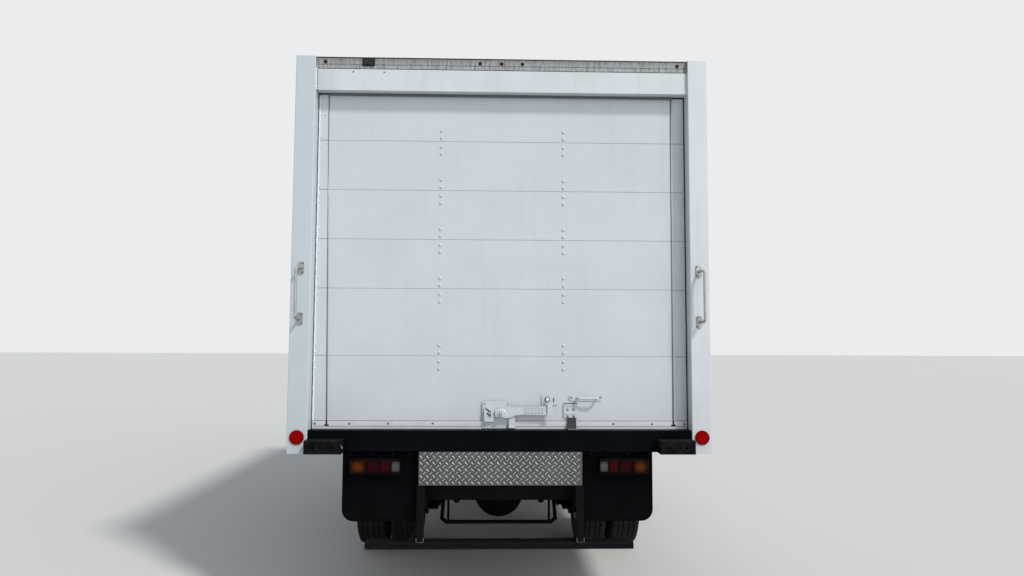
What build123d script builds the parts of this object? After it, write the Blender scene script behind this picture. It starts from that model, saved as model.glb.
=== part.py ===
from build123d import *
import os
from math import cos, radians, sin, tan

# Box truck: a low cab-forward medium truck with a dry-freight body.
# Millimetres, +Z up from the ground, +Y forward, +X the kerb side, origin under the middle of the truck.

# Overall lengths
wheelbase = 3365
rear_overhang = 1600  # rear post faces to rear axle
front_overhang = 1100  # front axle to bumper face
cab_depth = 1740  # bumper face to the cab's back
cab_gap = 58  # cab to cargo body
step_depth = 75  # the dock steps stand out behind the posts

rear_y = step_depth - (step_depth + rear_overhang + wheelbase + front_overhang) / 2
rear_axle_y = rear_y + rear_overhang
front_axle_y = rear_axle_y + wheelbase
nose_y = front_axle_y + front_overhang
cab_back_y = nose_y - cab_depth
body_front_y = cab_back_y - cab_gap
body_length = body_front_y - rear_y

fit_gap = 0.3  # pieces that seat on one another
panel_gap = 6  # round a door

# Wheels
tyre_radius = 386
tyre_width = 216
rim_radius = 203
front_wheel_x = 833
kingpin_x = 760
twin_outer_x = 950
twin_inner_x = 700

# Frame
rail_outer_x = 430
rail_flange = 70
rail_height = 210
rail_top_z = 820
rail_web = 8
rail_bottom_z = rail_top_z - rail_height
rail_inner_x = rail_outer_x - rail_flange

# Cargo body
body_half = 1219
skin_half = body_half - 7
wall = 38
post_width = 116
post_middle = body_half - post_width / 2
post_depth = 90
post_foot_z = 935
body_top_z = 3255
top_rail_height = 68
header_height = 132
sill_bottom_z = 947
sill_top_z = 1066
floor_bottom_z = 1035
floor_top_z = 1070
cross_sill_bottom_z = 930
bottom_rail_top_z = 1075
top_rail_z = body_top_z - top_rail_height
header_z = top_rail_z - header_height
door_foot_z = 1112  # bottom rail to the lowest panel
door_head_z = header_z - 5
door_s = 84  # rear post faces to the roll-up door's face
door_thickness = 20
crown = 14

# Cab
cab_tilt_deg = 45
cab_wall = 50
cab_bottom_z = 600
cab_rear_foot_z = 850  # behind the wheel arch
belt_z = 1360
tilt_t = 100  # bumper face to the tilt hinge
tilt_z = 560
door_front_t = 290
door_top_z = 2045
door_back_t = 1230
door_axis_x = 1002
door_axis_t = door_front_t + panel_gap / 2
hinge_radius = 10
hinge_heights = [1050, 1280]
knuckle_height = 30
arch_radius = 480
step_x = 955


def behind_nose(t):
    """The Y of a place t behind the bumper's face."""
    return nose_y - t


def across(y):
    """A plane across the truck at y. Its sketch is in X and Z, and it extrudes rearwards."""
    return Plane.XZ.offset(-y)


def lengthwise(x):
    """A plane along the truck at x. Its sketch is in Y and Z, and it extrudes to +X."""
    return Plane.YZ.offset(x)


def side_block(outline, x_from, x_to, radius=0):
    """A solid between two X places with a side outline of (Y, Z) points."""
    with BuildPart(mode=Mode.PRIVATE) as block:
        with BuildSketch(lengthwise(x_from)):
            with BuildLine():
                Polyline(*outline, close=True)
            make_face()
            if radius:
                fillet(vertices(), radius)
        extrude(amount=x_to - x_from)
    return block.part


def front_block(outline, y_from, y_to, radius=0):
    """A solid between two Y places with a front outline of (X, Z) points."""
    with BuildPart(mode=Mode.PRIVATE) as block:
        with BuildSketch(across(y_from)):
            with BuildLine():
                Polyline(*outline, close=True)
            make_face()
            if radius:
                fillet(vertices(), radius)
        extrude(amount=y_from - y_to)
    return block.part


def span(x_from, x_to, y_from, y_to, z_from, z_to):
    """A plain block between two corners."""
    block = Box(abs(x_to - x_from), abs(y_to - y_from), abs(z_to - z_from), mode=Mode.PRIVATE)
    return Pos((x_from + x_to) / 2, (y_from + y_to) / 2, (z_from + z_to) / 2) * block


def rod(x_from, x_to, y, z, radius):
    """A round bar along X."""
    bar = Cylinder(radius, abs(x_to - x_from), mode=Mode.PRIVATE)
    return Pos((x_from + x_to) / 2, y, z) * Rot(0, 90, 0) * bar


def peg(x, z, y_from, y_to, radius):
    """A round bar along Y."""
    bar = Cylinder(radius, abs(y_to - y_from), mode=Mode.PRIVATE)
    return Pos(x, (y_from + y_to) / 2, z) * Rot(90, 0, 0) * bar


def post(x, y, z_from, z_to, radius):
    """A round bar along Z."""
    bar = Cylinder(radius, abs(z_to - z_from), mode=Mode.PRIVATE)
    return Pos(x, y, (z_from + z_to) / 2) * bar


def bar_between(start, end, radius):
    """A round bar between two points."""
    start, end = Vector(*start), Vector(*end)
    with BuildPart(mode=Mode.PRIVATE) as bar:
        with BuildSketch(Plane(origin=start, z_dir=end - start)):
            Circle(radius)
        extrude(amount=(end - start).length)
    return bar.part


def bent_bar(points, radius, bend, turns=2):
    """A round bar along straight runs, its bends as a few mitred turns."""
    stops = [Vector(*point) for point in points]
    route = [stops[0]]
    for before, corner, after in zip(stops, stops[1:], stops[2:]):
        ahead = (corner - before).normalized()
        onward = (after - corner).normalized()
        angle = ahead.get_angle(onward)
        cut = bend * tan(radians(angle / 2))
        part_turn = radians(angle / turns)
        # each chord of the bend touches its arc at the chord's middle
        chord = 2 * bend * tan(part_turn / 2)
        axis = Axis((0, 0, 0), ahead.cross(onward))
        heading = ahead
        place = corner - ahead * (cut - chord / 2)
        route.append(place)
        for _ in range(turns - 1):
            heading = heading.rotate(axis, angle / turns)
            place = place + heading * chord
            route.append(place)
    route.append(stops[-1])
    with BuildPart(mode=Mode.PRIVATE) as bar:
        with BuildLine() as path:
            Polyline(*route)
        with BuildSketch(Plane(origin=route[0], z_dir=route[1] - route[0])):
            Circle(radius)
        sweep(path=path.line, transition=Transition.RIGHT)
    return bar.part


def save(piece, name):
    piece.label = name
    export_step(piece, f"parts/{name}.step")


os.makedirs("parts", exist_ok=True)


# Frame rails: two channels with their webs outside, and the crossmembers that stand between them
rail_back_y = rear_y + 62
rail_front_y = behind_nose(200)
cross_half = rail_outer_x - rail_web - fit_gap
cross_places = [0.01, 0.2, 0.36, 0.52, 0.64, 0.97]
with BuildPart() as frame_rails:
    with BuildSketch(across(rail_front_y)):
        with BuildLine():
            Polyline(
                (rail_inner_x, rail_bottom_z),
                (rail_outer_x, rail_bottom_z),
                (rail_outer_x, rail_top_z),
                (rail_inner_x, rail_top_z),
                (rail_inner_x, rail_top_z - rail_web),
                (rail_outer_x - rail_web, rail_top_z - rail_web),
                (rail_outer_x - rail_web, rail_bottom_z + rail_web),
                (rail_inner_x, rail_bottom_z + rail_web),
                close=True,
            )
        make_face()
    extrude(amount=rail_front_y - rail_back_y)
    mirror(about=Plane.YZ)
    for place in cross_places:
        y = rail_back_y + place * (rail_front_y - rail_back_y)
        add(span(-cross_half, cross_half, y, y + 8, 650, 780))
        add(span(-cross_half, cross_half, y, y + 60, 772, 780))
    # hinge ears for the cab at the nose
    for side in (-1, 1):
        ear = side_block(
            [
                (rail_front_y, rail_bottom_z + 120),
                (behind_nose(tilt_t + 52), tilt_z + 90),
                (behind_nose(tilt_t + 46), tilt_z + 32),
                (behind_nose(tilt_t + 18), tilt_z + 22),
                (behind_nose(tilt_t - 24), tilt_z + 15),
                (behind_nose(tilt_t - 24), tilt_z - 15),
                (behind_nose(tilt_t), tilt_z - 26),
                (behind_nose(tilt_t + 50), tilt_z - 15),
                (rail_front_y - 60, rail_bottom_z - 30),
                (rail_front_y - 60, rail_bottom_z),
                (rail_front_y, rail_bottom_z),
            ],
            side * (rail_outer_x - 10),
            side * rail_outer_x,
        )
        add(ear)
    hinge_pin_radius = 14
    for side in (-1, 1):
        add(rod(side * 330, side * rail_outer_x, behind_nose(tilt_t), tilt_z, hinge_pin_radius))
save(frame_rails.part, "frame_rails")

# Front bumper: a deep pressed bar that turns back at its ends, on two arms from the rails
bumper_half = 1000
bumper_bottom_z = 385
bumper_top_z = 570
bumper_return = 240
recess_depth = 30
intake_outline = [(-440, 420), (440, 420), (440, 512), (-440, 512)]
with BuildPart() as front_bumper:
    with BuildSketch(Plane.XY.offset(bumper_bottom_z)):
        with Locations((0, nose_y - bumper_return)):
            Rectangle(2 * bumper_half, 2 * bumper_return)
        fillet(vertices().group_by(Axis.Y)[-1], 120)
        with Locations((0, nose_y - bumper_return - 55)):
            Rectangle(2 * bumper_half - 110, 2 * bumper_return, mode=Mode.SUBTRACT)
        with Locations((0, nose_y - 2 * bumper_return)):
            Rectangle(2 * bumper_half + 10, 2 * bumper_return, mode=Mode.SUBTRACT)
    extrude(amount=bumper_top_z - bumper_bottom_z)
    add(front_block(intake_outline, nose_y + 10, nose_y - recess_depth, 18), mode=Mode.SUBTRACT)
    for side in (-1, 1):
        recess = [(side * 640, 430), (side * 800, 430), (side * 800, 520), (side * 640, 520)]
        add(front_block(recess, nose_y + 10, nose_y - recess_depth, 16), mode=Mode.SUBTRACT)
        add(peg(side * 720, 475, nose_y - recess_depth - 1, nose_y - 8, 36))
    for z in (432, 452, 472, 492):
        add(span(-430, 430, nose_y - recess_depth - 1, nose_y - 10, z, z + 8))
    for side in (-1, 1):
        add(
            span(
                side * 352,
                side * (rail_outer_x - rail_web - 12),
                behind_nose(54),
                rail_front_y - 120,
                440,
                500,
            )
        )
        add(
            span(
                side * 352,
                side * (rail_outer_x - rail_web - 12),
                rail_front_y - 80,
                rail_front_y - 120,
                440,
                rail_bottom_z - fit_gap,
            )
        )
save(front_bumper.part, "front_bumper")

# Cab steps: a box with two treads on each side, hung from the rails
with BuildPart() as cab_steps:
    for side in (-1, 1):
        inner, outer = side * 700, side * step_x
        add(span(inner, outer, behind_nose(290), behind_nose(620), 400, 425))
        add(span(inner, outer, behind_nose(290), behind_nose(620), 530, 555))
        for t in (290, 605):
            add(span(inner, outer, behind_nose(t), behind_nose(t + 15), 400, 555))
        add(span(side * (rail_outer_x + fit_gap), inner, behind_nose(415), behind_nose(475), 480, 545))
        add(
            span(
                side * (rail_outer_x + fit_gap),
                side * (rail_outer_x + 30),
                behind_nose(415),
                behind_nose(475),
                480,
                700,
            )
        )
save(cab_steps.part, "cab_steps")

# Front axle: a dropped forged beam with an eye at each kingpin
kingpin_radius = 20
kingpin_clear = 0.5
beam_eye_half = 42
with BuildPart() as front_axle:
    with BuildSketch(across(front_axle_y + 38)):
        with BuildLine():
            Polyline(
                (-kingpin_x, tyre_radius - beam_eye_half),
                (-640, tyre_radius - beam_eye_half),
                (-560, 300),
                (560, 300),
                (640, tyre_radius - beam_eye_half),
                (kingpin_x, tyre_radius - beam_eye_half),
                (kingpin_x, tyre_radius + beam_eye_half),
                (620, tyre_radius + beam_eye_half),
                (530, 375),
                (-530, 375),
                (-620, tyre_radius + beam_eye_half),
                (-kingpin_x, tyre_radius + beam_eye_half),
                close=True,
            )
        make_face()
    extrude(amount=76)
    with Locations((-kingpin_x, front_axle_y, tyre_radius), (kingpin_x, front_axle_y, tyre_radius)):
        Cylinder(38, 2 * beam_eye_half)
        Hole(kingpin_radius + kingpin_clear)
    # spring seats
    for side in (-1, 1):
        add(span(side * 350, side * 440, front_axle_y - 60, front_axle_y + 60, 370, 392))
save(front_axle.part, "front_axle")

# Rear axle: tube, domed differential housing, brake drums, anti-roll bar and dampers
axle_tube_radius = 70
axle_end_x = 790
diff_radius = 190
drum_radius = 165
roll_bar_back = 250  # behind the axle
roll_bar_z = 210
roll_bar_half = 430
damper_y = rear_axle_y - 190
with BuildPart() as rear_axle:
    add(rod(-axle_end_x, axle_end_x, rear_axle_y, tyre_radius, axle_tube_radius))
    # housing: a dished bowl behind and a nose for the pinion in front
    with BuildSketch(lengthwise(0)):
        with BuildLine():
            Polyline(
                (rear_axle_y + 120, tyre_radius),
                (rear_axle_y - 150, tyre_radius),
                (rear_axle_y - 142, tyre_radius + 60),
                (rear_axle_y - 112, tyre_radius + 122),
                (rear_axle_y - 70, tyre_radius + 158),
                (rear_axle_y - 34, tyre_radius + 168),
                (rear_axle_y - 34, tyre_radius + diff_radius),
                (rear_axle_y - 16, tyre_radius + diff_radius),
                (rear_axle_y - 16, tyre_radius + 172),
                (rear_axle_y + 20, tyre_radius + 160),
                (rear_axle_y + 70, tyre_radius + 90),
                (rear_axle_y + 120, tyre_radius + 60),
                (rear_axle_y + 120, tyre_radius),
            )
        make_face()
    revolve(axis=Axis((0, rear_axle_y, tyre_radius), (0, 1, 0)))
    for side in (-1, 1):
        add(rod(side * 560, side * 640, rear_axle_y, tyre_radius, drum_radius))
        add(rod(side * 552, side * 560, rear_axle_y, tyre_radius, drum_radius + 8))
        seat = side_block(
            [
                (rear_axle_y - 60, 476),
                (rear_axle_y - 60, tyre_radius + 30),
                (rear_axle_y + 60, tyre_radius + 30),
                (rear_axle_y + 60, 476),
            ],
            side * 450,
            side * 550,
        )
        add(seat)
        # damper: a tube on the axle bracket with a dust cover, pinned to a bracket under the frame rail
        low, high = (side * 325, damper_y + 60, 340), (side * 325, damper_y - 70, 560)
        middle = (side * 325, damper_y - 5, 450)
        add(bar_between(low, middle, 24))
        add(bar_between(middle, high, 30))
        add(bar_between((side * 325, rear_axle_y - 40, tyre_radius), low, 16))
        add(rod(side * 300, side * 390, high[1], high[2], 12))
        add(span(side * 356, side * 400, high[1] - 28, high[1] + 28, 544, rail_bottom_z - fit_gap))
    # anti-roll bar with its two links to the rails
    roll_bar = [
        (-roll_bar_half, rear_axle_y - 50, 345),
        (-roll_bar_half, rear_axle_y - roll_bar_back, roll_bar_z),
        (roll_bar_half, rear_axle_y - roll_bar_back, roll_bar_z),
        (roll_bar_half, rear_axle_y - 50, 345),
    ]
    add(bent_bar(roll_bar, 14, 60))
    for side in (-1, 1):
        add(post(side * 380, rear_axle_y - roll_bar_back, roll_bar_z, rail_bottom_z - fit_gap, 9))
save(rear_axle.part, "rear_axle")

# Leaf springs: four packs of curved leaves with eyes, hangers, U-bolts and their plates
# columns: middle x, axle y, seat z, eye z, half length, U-bolt reach from the axle, U-bolt foot z
spring_table = [
    (395, front_axle_y, 392, 520, 600, 50, 392),
    (500, rear_axle_y, 476, 545, 640, 80, 300),
]
leaf = 14
leaf_gap = 1.5
leaf_count = 4
spring_half_width = 35
clip_share = 0.55
with BuildPart() as leaf_springs:
    for middle_x, axle_y, seat_z, eye_z, half_length, bolt_reach, bolt_foot_z in spring_table:
        low = seat_z + fit_gap
        pack_top = low + leaf_count * leaf
        sag = eye_z - pack_top
        curve = (half_length**2 + sag**2) / (2 * sag)
        for side in (-1, 1):
            x_from = side * middle_x - spring_half_width
            x_to = side * middle_x + spring_half_width
            for row in range(leaf_count):
                reach = half_length * (1 - 0.2 * row)
                inner_curve = curve + row * leaf
                with BuildSketch(lengthwise(x_from)):
                    with Locations((axle_y, pack_top + curve)):
                        Circle(inner_curve + leaf - (leaf_gap if row < leaf_count - 1 else 0))
                        Circle(inner_curve, mode=Mode.SUBTRACT)
                    with Locations((axle_y, pack_top)):
                        Rectangle(2 * reach, 2 * half_length, mode=Mode.INTERSECT)
                extrude(amount=2 * spring_half_width)
            # centre clamp, end clips and U-bolts
            add(span(x_from, x_to, axle_y - 46, axle_y + 46, low, pack_top + 3))
            plate_reach = bolt_reach + 12
            plate_z = pack_top + 3
            add(span(x_from - 14, x_to + 14, axle_y - plate_reach, axle_y + plate_reach, plate_z, plate_z + 12))
            for end in (-1, 1):
                for x in (x_from - 9, x_to + 9):
                    low_end = bolt_foot_z + fit_gap if bolt_foot_z == seat_z else bolt_foot_z
                    with BuildSketch(Plane.XY.offset(low_end)):
                        with Locations((x, axle_y + end * bolt_reach)):
                            RegularPolygon(8, 6)
                    extrude(amount=pack_top + 34 - low_end)
                clip_y = axle_y + end * clip_share * half_length
                clip_z = pack_top + curve - (curve**2 - (clip_share * half_length) ** 2) ** 0.5
                clip_foot_z = clip_z - 2 * leaf - 8
                add(span(x_from - 5, x_to + 5, clip_y - 14, clip_y + 14, clip_foot_z, clip_z + 8))
                add(rod(x_from, x_to, axle_y + end * half_length, eye_z, 24))
                with BuildSketch(lengthwise(x_from - 12)):
                    with Locations((axle_y + end * half_length, eye_z)):
                        RegularPolygon(14, 6)
                extrude(amount=2 * spring_half_width + 24)
            if bolt_foot_z < seat_z:
                foot = span(
                    x_from - 16,
                    x_to + 16,
                    axle_y - bolt_reach - 14,
                    axle_y + bolt_reach + 14,
                    bolt_foot_z,
                    tyre_radius - axle_tube_radius - fit_gap,
                )
                add(foot)
            # hangers from the rail to the eyes
            for end in (-1, 1):
                hanger_y = axle_y + end * half_length
                if middle_x > rail_outer_x:
                    x_rail, x_far = side * (rail_outer_x + fit_gap), side * (middle_x + spring_half_width)
                    top = rail_bottom_z + 90
                else:
                    x_rail, x_far = x_from, x_to
                    top = rail_bottom_z - fit_gap
                hanger = [
                    (hanger_y - 52, top),
                    (hanger_y - 26, eye_z - 6),
                    (hanger_y - 12, eye_z - 28),
                    (hanger_y + 12, eye_z - 28),
                    (hanger_y + 26, eye_z - 6),
                    (hanger_y + 52, top),
                ]
                add(side_block(hanger, x_rail, x_far))
save(leaf_springs.part, "leaf_springs")

# Engine and gearbox: one plain block
with BuildPart() as engine_block:
    add(span(-270, 270, behind_nose(760), behind_nose(1500), 470, 940))
    add(span(-170, 170, behind_nose(1500), behind_nose(2150), 500, 780))
    for side in (-1, 1):
        mount_x = rail_outer_x - rail_web - fit_gap
        add(span(side * 270, side * mount_x, behind_nose(900), behind_nose(980), 690, 740))
save(engine_block.part, "engine_block")

# Drive shaft from gearbox to differential
with BuildPart() as drive_shaft:
    shaft_front_y = behind_nose(2150) - fit_gap
    shaft_back_y = rear_axle_y + 120 + fit_gap
    with BuildSketch(across(shaft_front_y)):
        with Locations((0, 600)):
            Circle(45)
    with BuildSketch(across(shaft_back_y)):
        with Locations((0, tyre_radius + 30)):
            Circle(45)
    loft(ruled=True)
save(drive_shaft.part, "drive_shaft")

# Fuel tank on the left, battery box on the right, exhaust silencer ahead of the rear wheels
with BuildPart() as fuel_tank:
    tank = side_block(
        [
            (behind_nose(2000), 420),
            (behind_nose(2900), 420),
            (behind_nose(2900), 740),
            (behind_nose(2000), 740),
        ],
        -940,
        -500,
        60,
    )
    add(tank)
    for t in (2160, 2740):
        add(span(-500, -rail_outer_x - fit_gap, behind_nose(t), behind_nose(t + 50), 430, 730))
        strap = side_block(
            [
                (behind_nose(t), 416),
                (behind_nose(t + 50), 416),
                (behind_nose(t + 50), 744),
                (behind_nose(t), 744),
            ],
            -944,
            -496,
            12,
        )
        add(strap)
    add(post(-820, behind_nose(2440), 740, 775, 45))
save(fuel_tank.part, "fuel_tank")

with BuildPart() as battery_box:
    add(span(500, 900, behind_nose(1950), behind_nose(2450), 470, 730))
    for t in (2020, 2330):
        add(span(rail_outer_x + fit_gap, 500, behind_nose(t), behind_nose(t + 50), 480, 720))
    add(span(494, 906, behind_nose(1944), behind_nose(2456), 712, 738))
    for t in (1990, 2400):
        add(span(900, 908, behind_nose(t), behind_nose(t + 20), 640, 738))
save(battery_box.part, "battery_box")

with BuildPart() as exhaust:
    with BuildSketch(across(behind_nose(2600))):
        with Locations((640, 560)):
            Circle(110)
    extrude(amount=600)
    for t in (2700, 3050):
        add(span(rail_outer_x + fit_gap, 600, behind_nose(t), behind_nose(t + 30), 600, 640))
    inlet = [
        (640, behind_nose(2600), 560),
        (640, behind_nose(2520), 560),
        (212, behind_nose(2520), 560),
        (212, behind_nose(2000), 560),
    ]
    add(bent_bar(inlet, 30, 45))
    outlet = [(640, behind_nose(3200), 560), (640, behind_nose(3330), 560), (1010, behind_nose(3330), 560)]
    add(bent_bar(outlet, 34, 70))
save(exhaust.part, "exhaust")

# Sub-frame: two long sills on the rails and a row of cross sills under the floor
sill_pitch = 350
long_sill_from_y = rear_y + post_depth + fit_gap
cross_count = int((body_length - post_depth - 150) / sill_pitch) + 1
with BuildPart() as subframe:
    for side in (-1, 1):
        add(
            span(
                side * (rail_inner_x + 6),
                side * rail_outer_x,
                long_sill_from_y,
                body_front_y,
                rail_top_z + fit_gap,
                cross_sill_bottom_z - fit_gap,
            )
        )
    for place in range(cross_count):
        y = long_sill_from_y + place * sill_pitch
        add(span(-skin_half + wall + 2, skin_half - wall - 2, y, y + 8, cross_sill_bottom_z, floor_bottom_z))
        flange_top_z = cross_sill_bottom_z + 8
        add(span(-skin_half + wall + 2, skin_half - wall - 2, y, y + 45, cross_sill_bottom_z, flange_top_z))
        add(
            span(
                -skin_half + wall + 2,
                skin_half - wall - 2,
                y,
                y + 45,
                floor_bottom_z - 8,
                floor_bottom_z,
            )
        )
save(subframe.part, "subframe")

# Cargo floor
with BuildPart() as cargo_floor:
    add(
        span(
            -skin_half + wall + fit_gap,
            skin_half - wall - fit_gap,
            rear_y + post_depth + fit_gap,
            body_front_y - wall - fit_gap,
            floor_bottom_z + fit_gap,
            floor_top_z,
        )
    )
save(cargo_floor.part, "cargo_floor")

# Side walls: skin with a heavier rail along the foot and the top
front_corner = 140
with BuildPart() as side_walls:
    with BuildSketch(across(body_front_y - front_corner - fit_gap)):
        with BuildLine():
            Polyline(
                (skin_half - wall, cross_sill_bottom_z + 5),
                (body_half, cross_sill_bottom_z + 5),
                (body_half, bottom_rail_top_z),
                (skin_half, bottom_rail_top_z + 7),
                (skin_half, top_rail_z - 7),
                (body_half, top_rail_z),
                (body_half, body_top_z - 40),
                (skin_half - 20, body_top_z),
                (skin_half - wall, body_top_z),
                close=True,
            )
        make_face()
    extrude(amount=body_front_y - front_corner - fit_gap - rear_y - post_depth - fit_gap)
    mirror(about=Plane.YZ)
save(side_walls.part, "side_walls")

# Front wall with rounded corner posts
with BuildPart() as front_wall:
    with BuildSketch(Plane.XY.offset(cross_sill_bottom_z + 5)):
        with Locations((0, body_front_y - front_corner / 2)):
            Rectangle(2 * skin_half, front_corner)
        fillet(vertices().group_by(Axis.Y)[-1], 90)
        with Locations((0, body_front_y - wall - front_corner / 2)):
            Rectangle(2 * (skin_half - wall), front_corner, mode=Mode.SUBTRACT)
    extrude(amount=body_top_z - 2 - cross_sill_bottom_z - 5)
    roof_seat = span(
        -skin_half + wall,
        skin_half - wall,
        body_front_y + 10,
        body_front_y - 2 * front_corner,
        body_top_z - 45,
        body_top_z + 10,
    )
    add(roof_seat, mode=Mode.SUBTRACT)
save(front_wall.part, "front_wall")

# Roof: a sheet with a flat middle that falls to the sides, and a rounded front edge
roof_flat = 700
roof_bottom_z = body_top_z - 45 + fit_gap
with BuildPart() as roof:
    roof_back_y = rear_y + post_depth + fit_gap
    with BuildSketch(across(body_front_y)):
        with BuildLine():
            edge = skin_half - wall - fit_gap
            Line((-edge, roof_bottom_z), (edge, roof_bottom_z))
            Polyline(
                (edge, roof_bottom_z),
                (edge, body_top_z),
                (roof_flat, body_top_z + crown),
                (-roof_flat, body_top_z + crown),
                (-edge, body_top_z),
                (-edge, roof_bottom_z),
            )
        make_face()
    extrude(amount=body_front_y - roof_back_y)
    with BuildSketch(Plane.XY.offset(roof_bottom_z - 10)) as plan:
        with Locations((0, (body_front_y + rear_y) / 2)):
            Rectangle(2 * skin_half, body_length)
        fillet(vertices().group_by(Axis.Y)[-1], 90)
    extrude(amount=100, mode=Mode.INTERSECT)
save(roof.part, "roof")

# Marker lamps: amber along the front wall's head and the front of the sides, red at the rear of the sides
# columns: x of the lamps on the front wall
front_marker_places = [-1000, -180, 0, 180, 1000]
# columns: y from the rear, z of the lamps on each side
side_marker_table = [(160, 3201), (160, 1005), (2130, 1005), (4050, 3201), (4050, 1005)]
marker_outline = [(-48, -8), (-38, -17), (38, -17), (48, -8), (48, 8), (38, 17), (-38, 17), (-48, 8)]
marker_proud = 22
front_marker_z = 3147
front_wall_face_y = body_front_y + fit_gap
with BuildPart() as marker_lamps:
    for x in front_marker_places:
        lamp = [(x + along, front_marker_z + rise) for along, rise in marker_outline]
        add(front_block(lamp, front_wall_face_y, front_wall_face_y + marker_proud))
    for along, z in side_marker_table:
        lamp = [(rear_y + along + run, z + rise) for run, rise in marker_outline]
        for side in (-1, 1):
            face = side * (body_half + fit_gap)
            add(side_block(lamp, face, face + side * marker_proud))
save(marker_lamps.part, "marker_lamps")

# Rear frame: steel posts, header and top rail round the door opening
post_inner_x = body_half - post_width
header_depth = 60
with BuildPart() as rear_frame:
    for side in (-1, 1):
        add(
            span(
                side * post_inner_x,
                side * body_half,
                rear_y,
                rear_y + post_depth,
                post_foot_z,
                body_top_z,
            )
        )
    add(
        span(
            -post_inner_x,
            post_inner_x,
            rear_y + 17,
            rear_y + 17 + header_depth,
            header_z,
            top_rail_z,
        )
    )
    add(span(-post_inner_x, post_inner_x, rear_y + 25, rear_y + post_depth, top_rail_z, body_top_z + 4))
    fillet(rear_frame.edges().filter_by(Axis.Z).group_by(Axis.Y)[0], 5)
    add(span(-post_inner_x + 4, post_inner_x - 4, rear_y + 20, rear_y + 28, 3210, 3216), mode=Mode.SUBTRACT)
save(rear_frame.part, "rear_frame")

# Rear sill: the steel cross beam under the door, with its threshold strip
with BuildPart() as rear_sill:
    add(
        span(
            -post_inner_x + fit_gap,
            post_inner_x - fit_gap,
            rear_y + 8,
            rear_y + post_depth,
            sill_bottom_z,
            sill_top_z,
        )
    )
    add(span(-rail_outer_x, rail_outer_x, rear_y + 66, rear_y + post_depth, rail_top_z + fit_gap, sill_bottom_z))
save(rear_sill.part, "rear_sill")

# Dock steps: a bent channel on each end of the sill
# columns: inner x, outer x
dock_step_table = [(-895, -1102), (902, 1102)]
step_hole_places = [-1050, -950, 952, 1052]
step_hole_radius = 8
step_hole_z = 978
with BuildPart() as dock_steps:
    for inner, outer in dock_step_table:
        add(span(inner, outer, rear_y - step_depth, rear_y + 8 - fit_gap, 1006, 1018))
        add(span(inner, outer, rear_y - step_depth, rear_y - step_depth + 10, 943, 1018))
        for x in (inner, outer - 10 * (1 if outer > 0 else -1)):
            sign = 1 if outer > 0 else -1
            add(span(x, x + sign * 10, rear_y - step_depth, rear_y + 8 - fit_gap, 943, 1018))
    with Locations(*[(x, rear_y - step_depth, step_hole_z) for x in step_hole_places]):
        Cylinder(step_hole_radius, 40, rotation=(90, 0, 0), mode=Mode.SUBTRACT)
save(dock_steps.part, "dock_steps")

# Roll-up door: six hinged panels, their seams as shares of the door's height
seam_shares = [0, 0.194, 0.3984, 0.5495, 0.7018, 0.8555, 1]
seams = [door_foot_z + share * (door_head_z - door_foot_z) for share in seam_shares]
panel_seam = 0.6
door_half = post_inner_x - 8
stile_width = 62
stile_height = 1.5
seam_chamfer = 2.5
door_face_y = rear_y + door_s
with BuildPart() as roll_door:
    for low, high in zip(seams[:-1], seams[1:]):
        low += panel_seam / 2
        high -= panel_seam / 2
        panel = [
            (door_face_y + seam_chamfer, low),
            (door_face_y, low + seam_chamfer),
            (door_face_y, high - seam_chamfer),
            (door_face_y + seam_chamfer, high),
            (door_face_y + door_thickness, high),
            (door_face_y + door_thickness, low),
        ]
        add(side_block(panel, -door_half, door_half))
        for side in (-1, 1):
            stile_from = side * (door_half - stile_width)
            add(span(stile_from, side * door_half, door_face_y - stile_height, door_face_y, low + 3, high - 3))
save(roll_door.part, "roll_door")

# Door trim: bottom rail and threshold seal
with BuildPart() as door_trim:
    add(
        span(
            -door_half,
            door_half,
            rear_y + door_s - 6,
            rear_y + door_s + door_thickness,
            1081,
            door_foot_z,
        )
    )
    add(span(-door_half, door_half, rear_y + door_s - 6, rear_y + door_s, sill_top_z + fit_gap, 1081))
save(door_trim.part, "door_trim")

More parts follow.
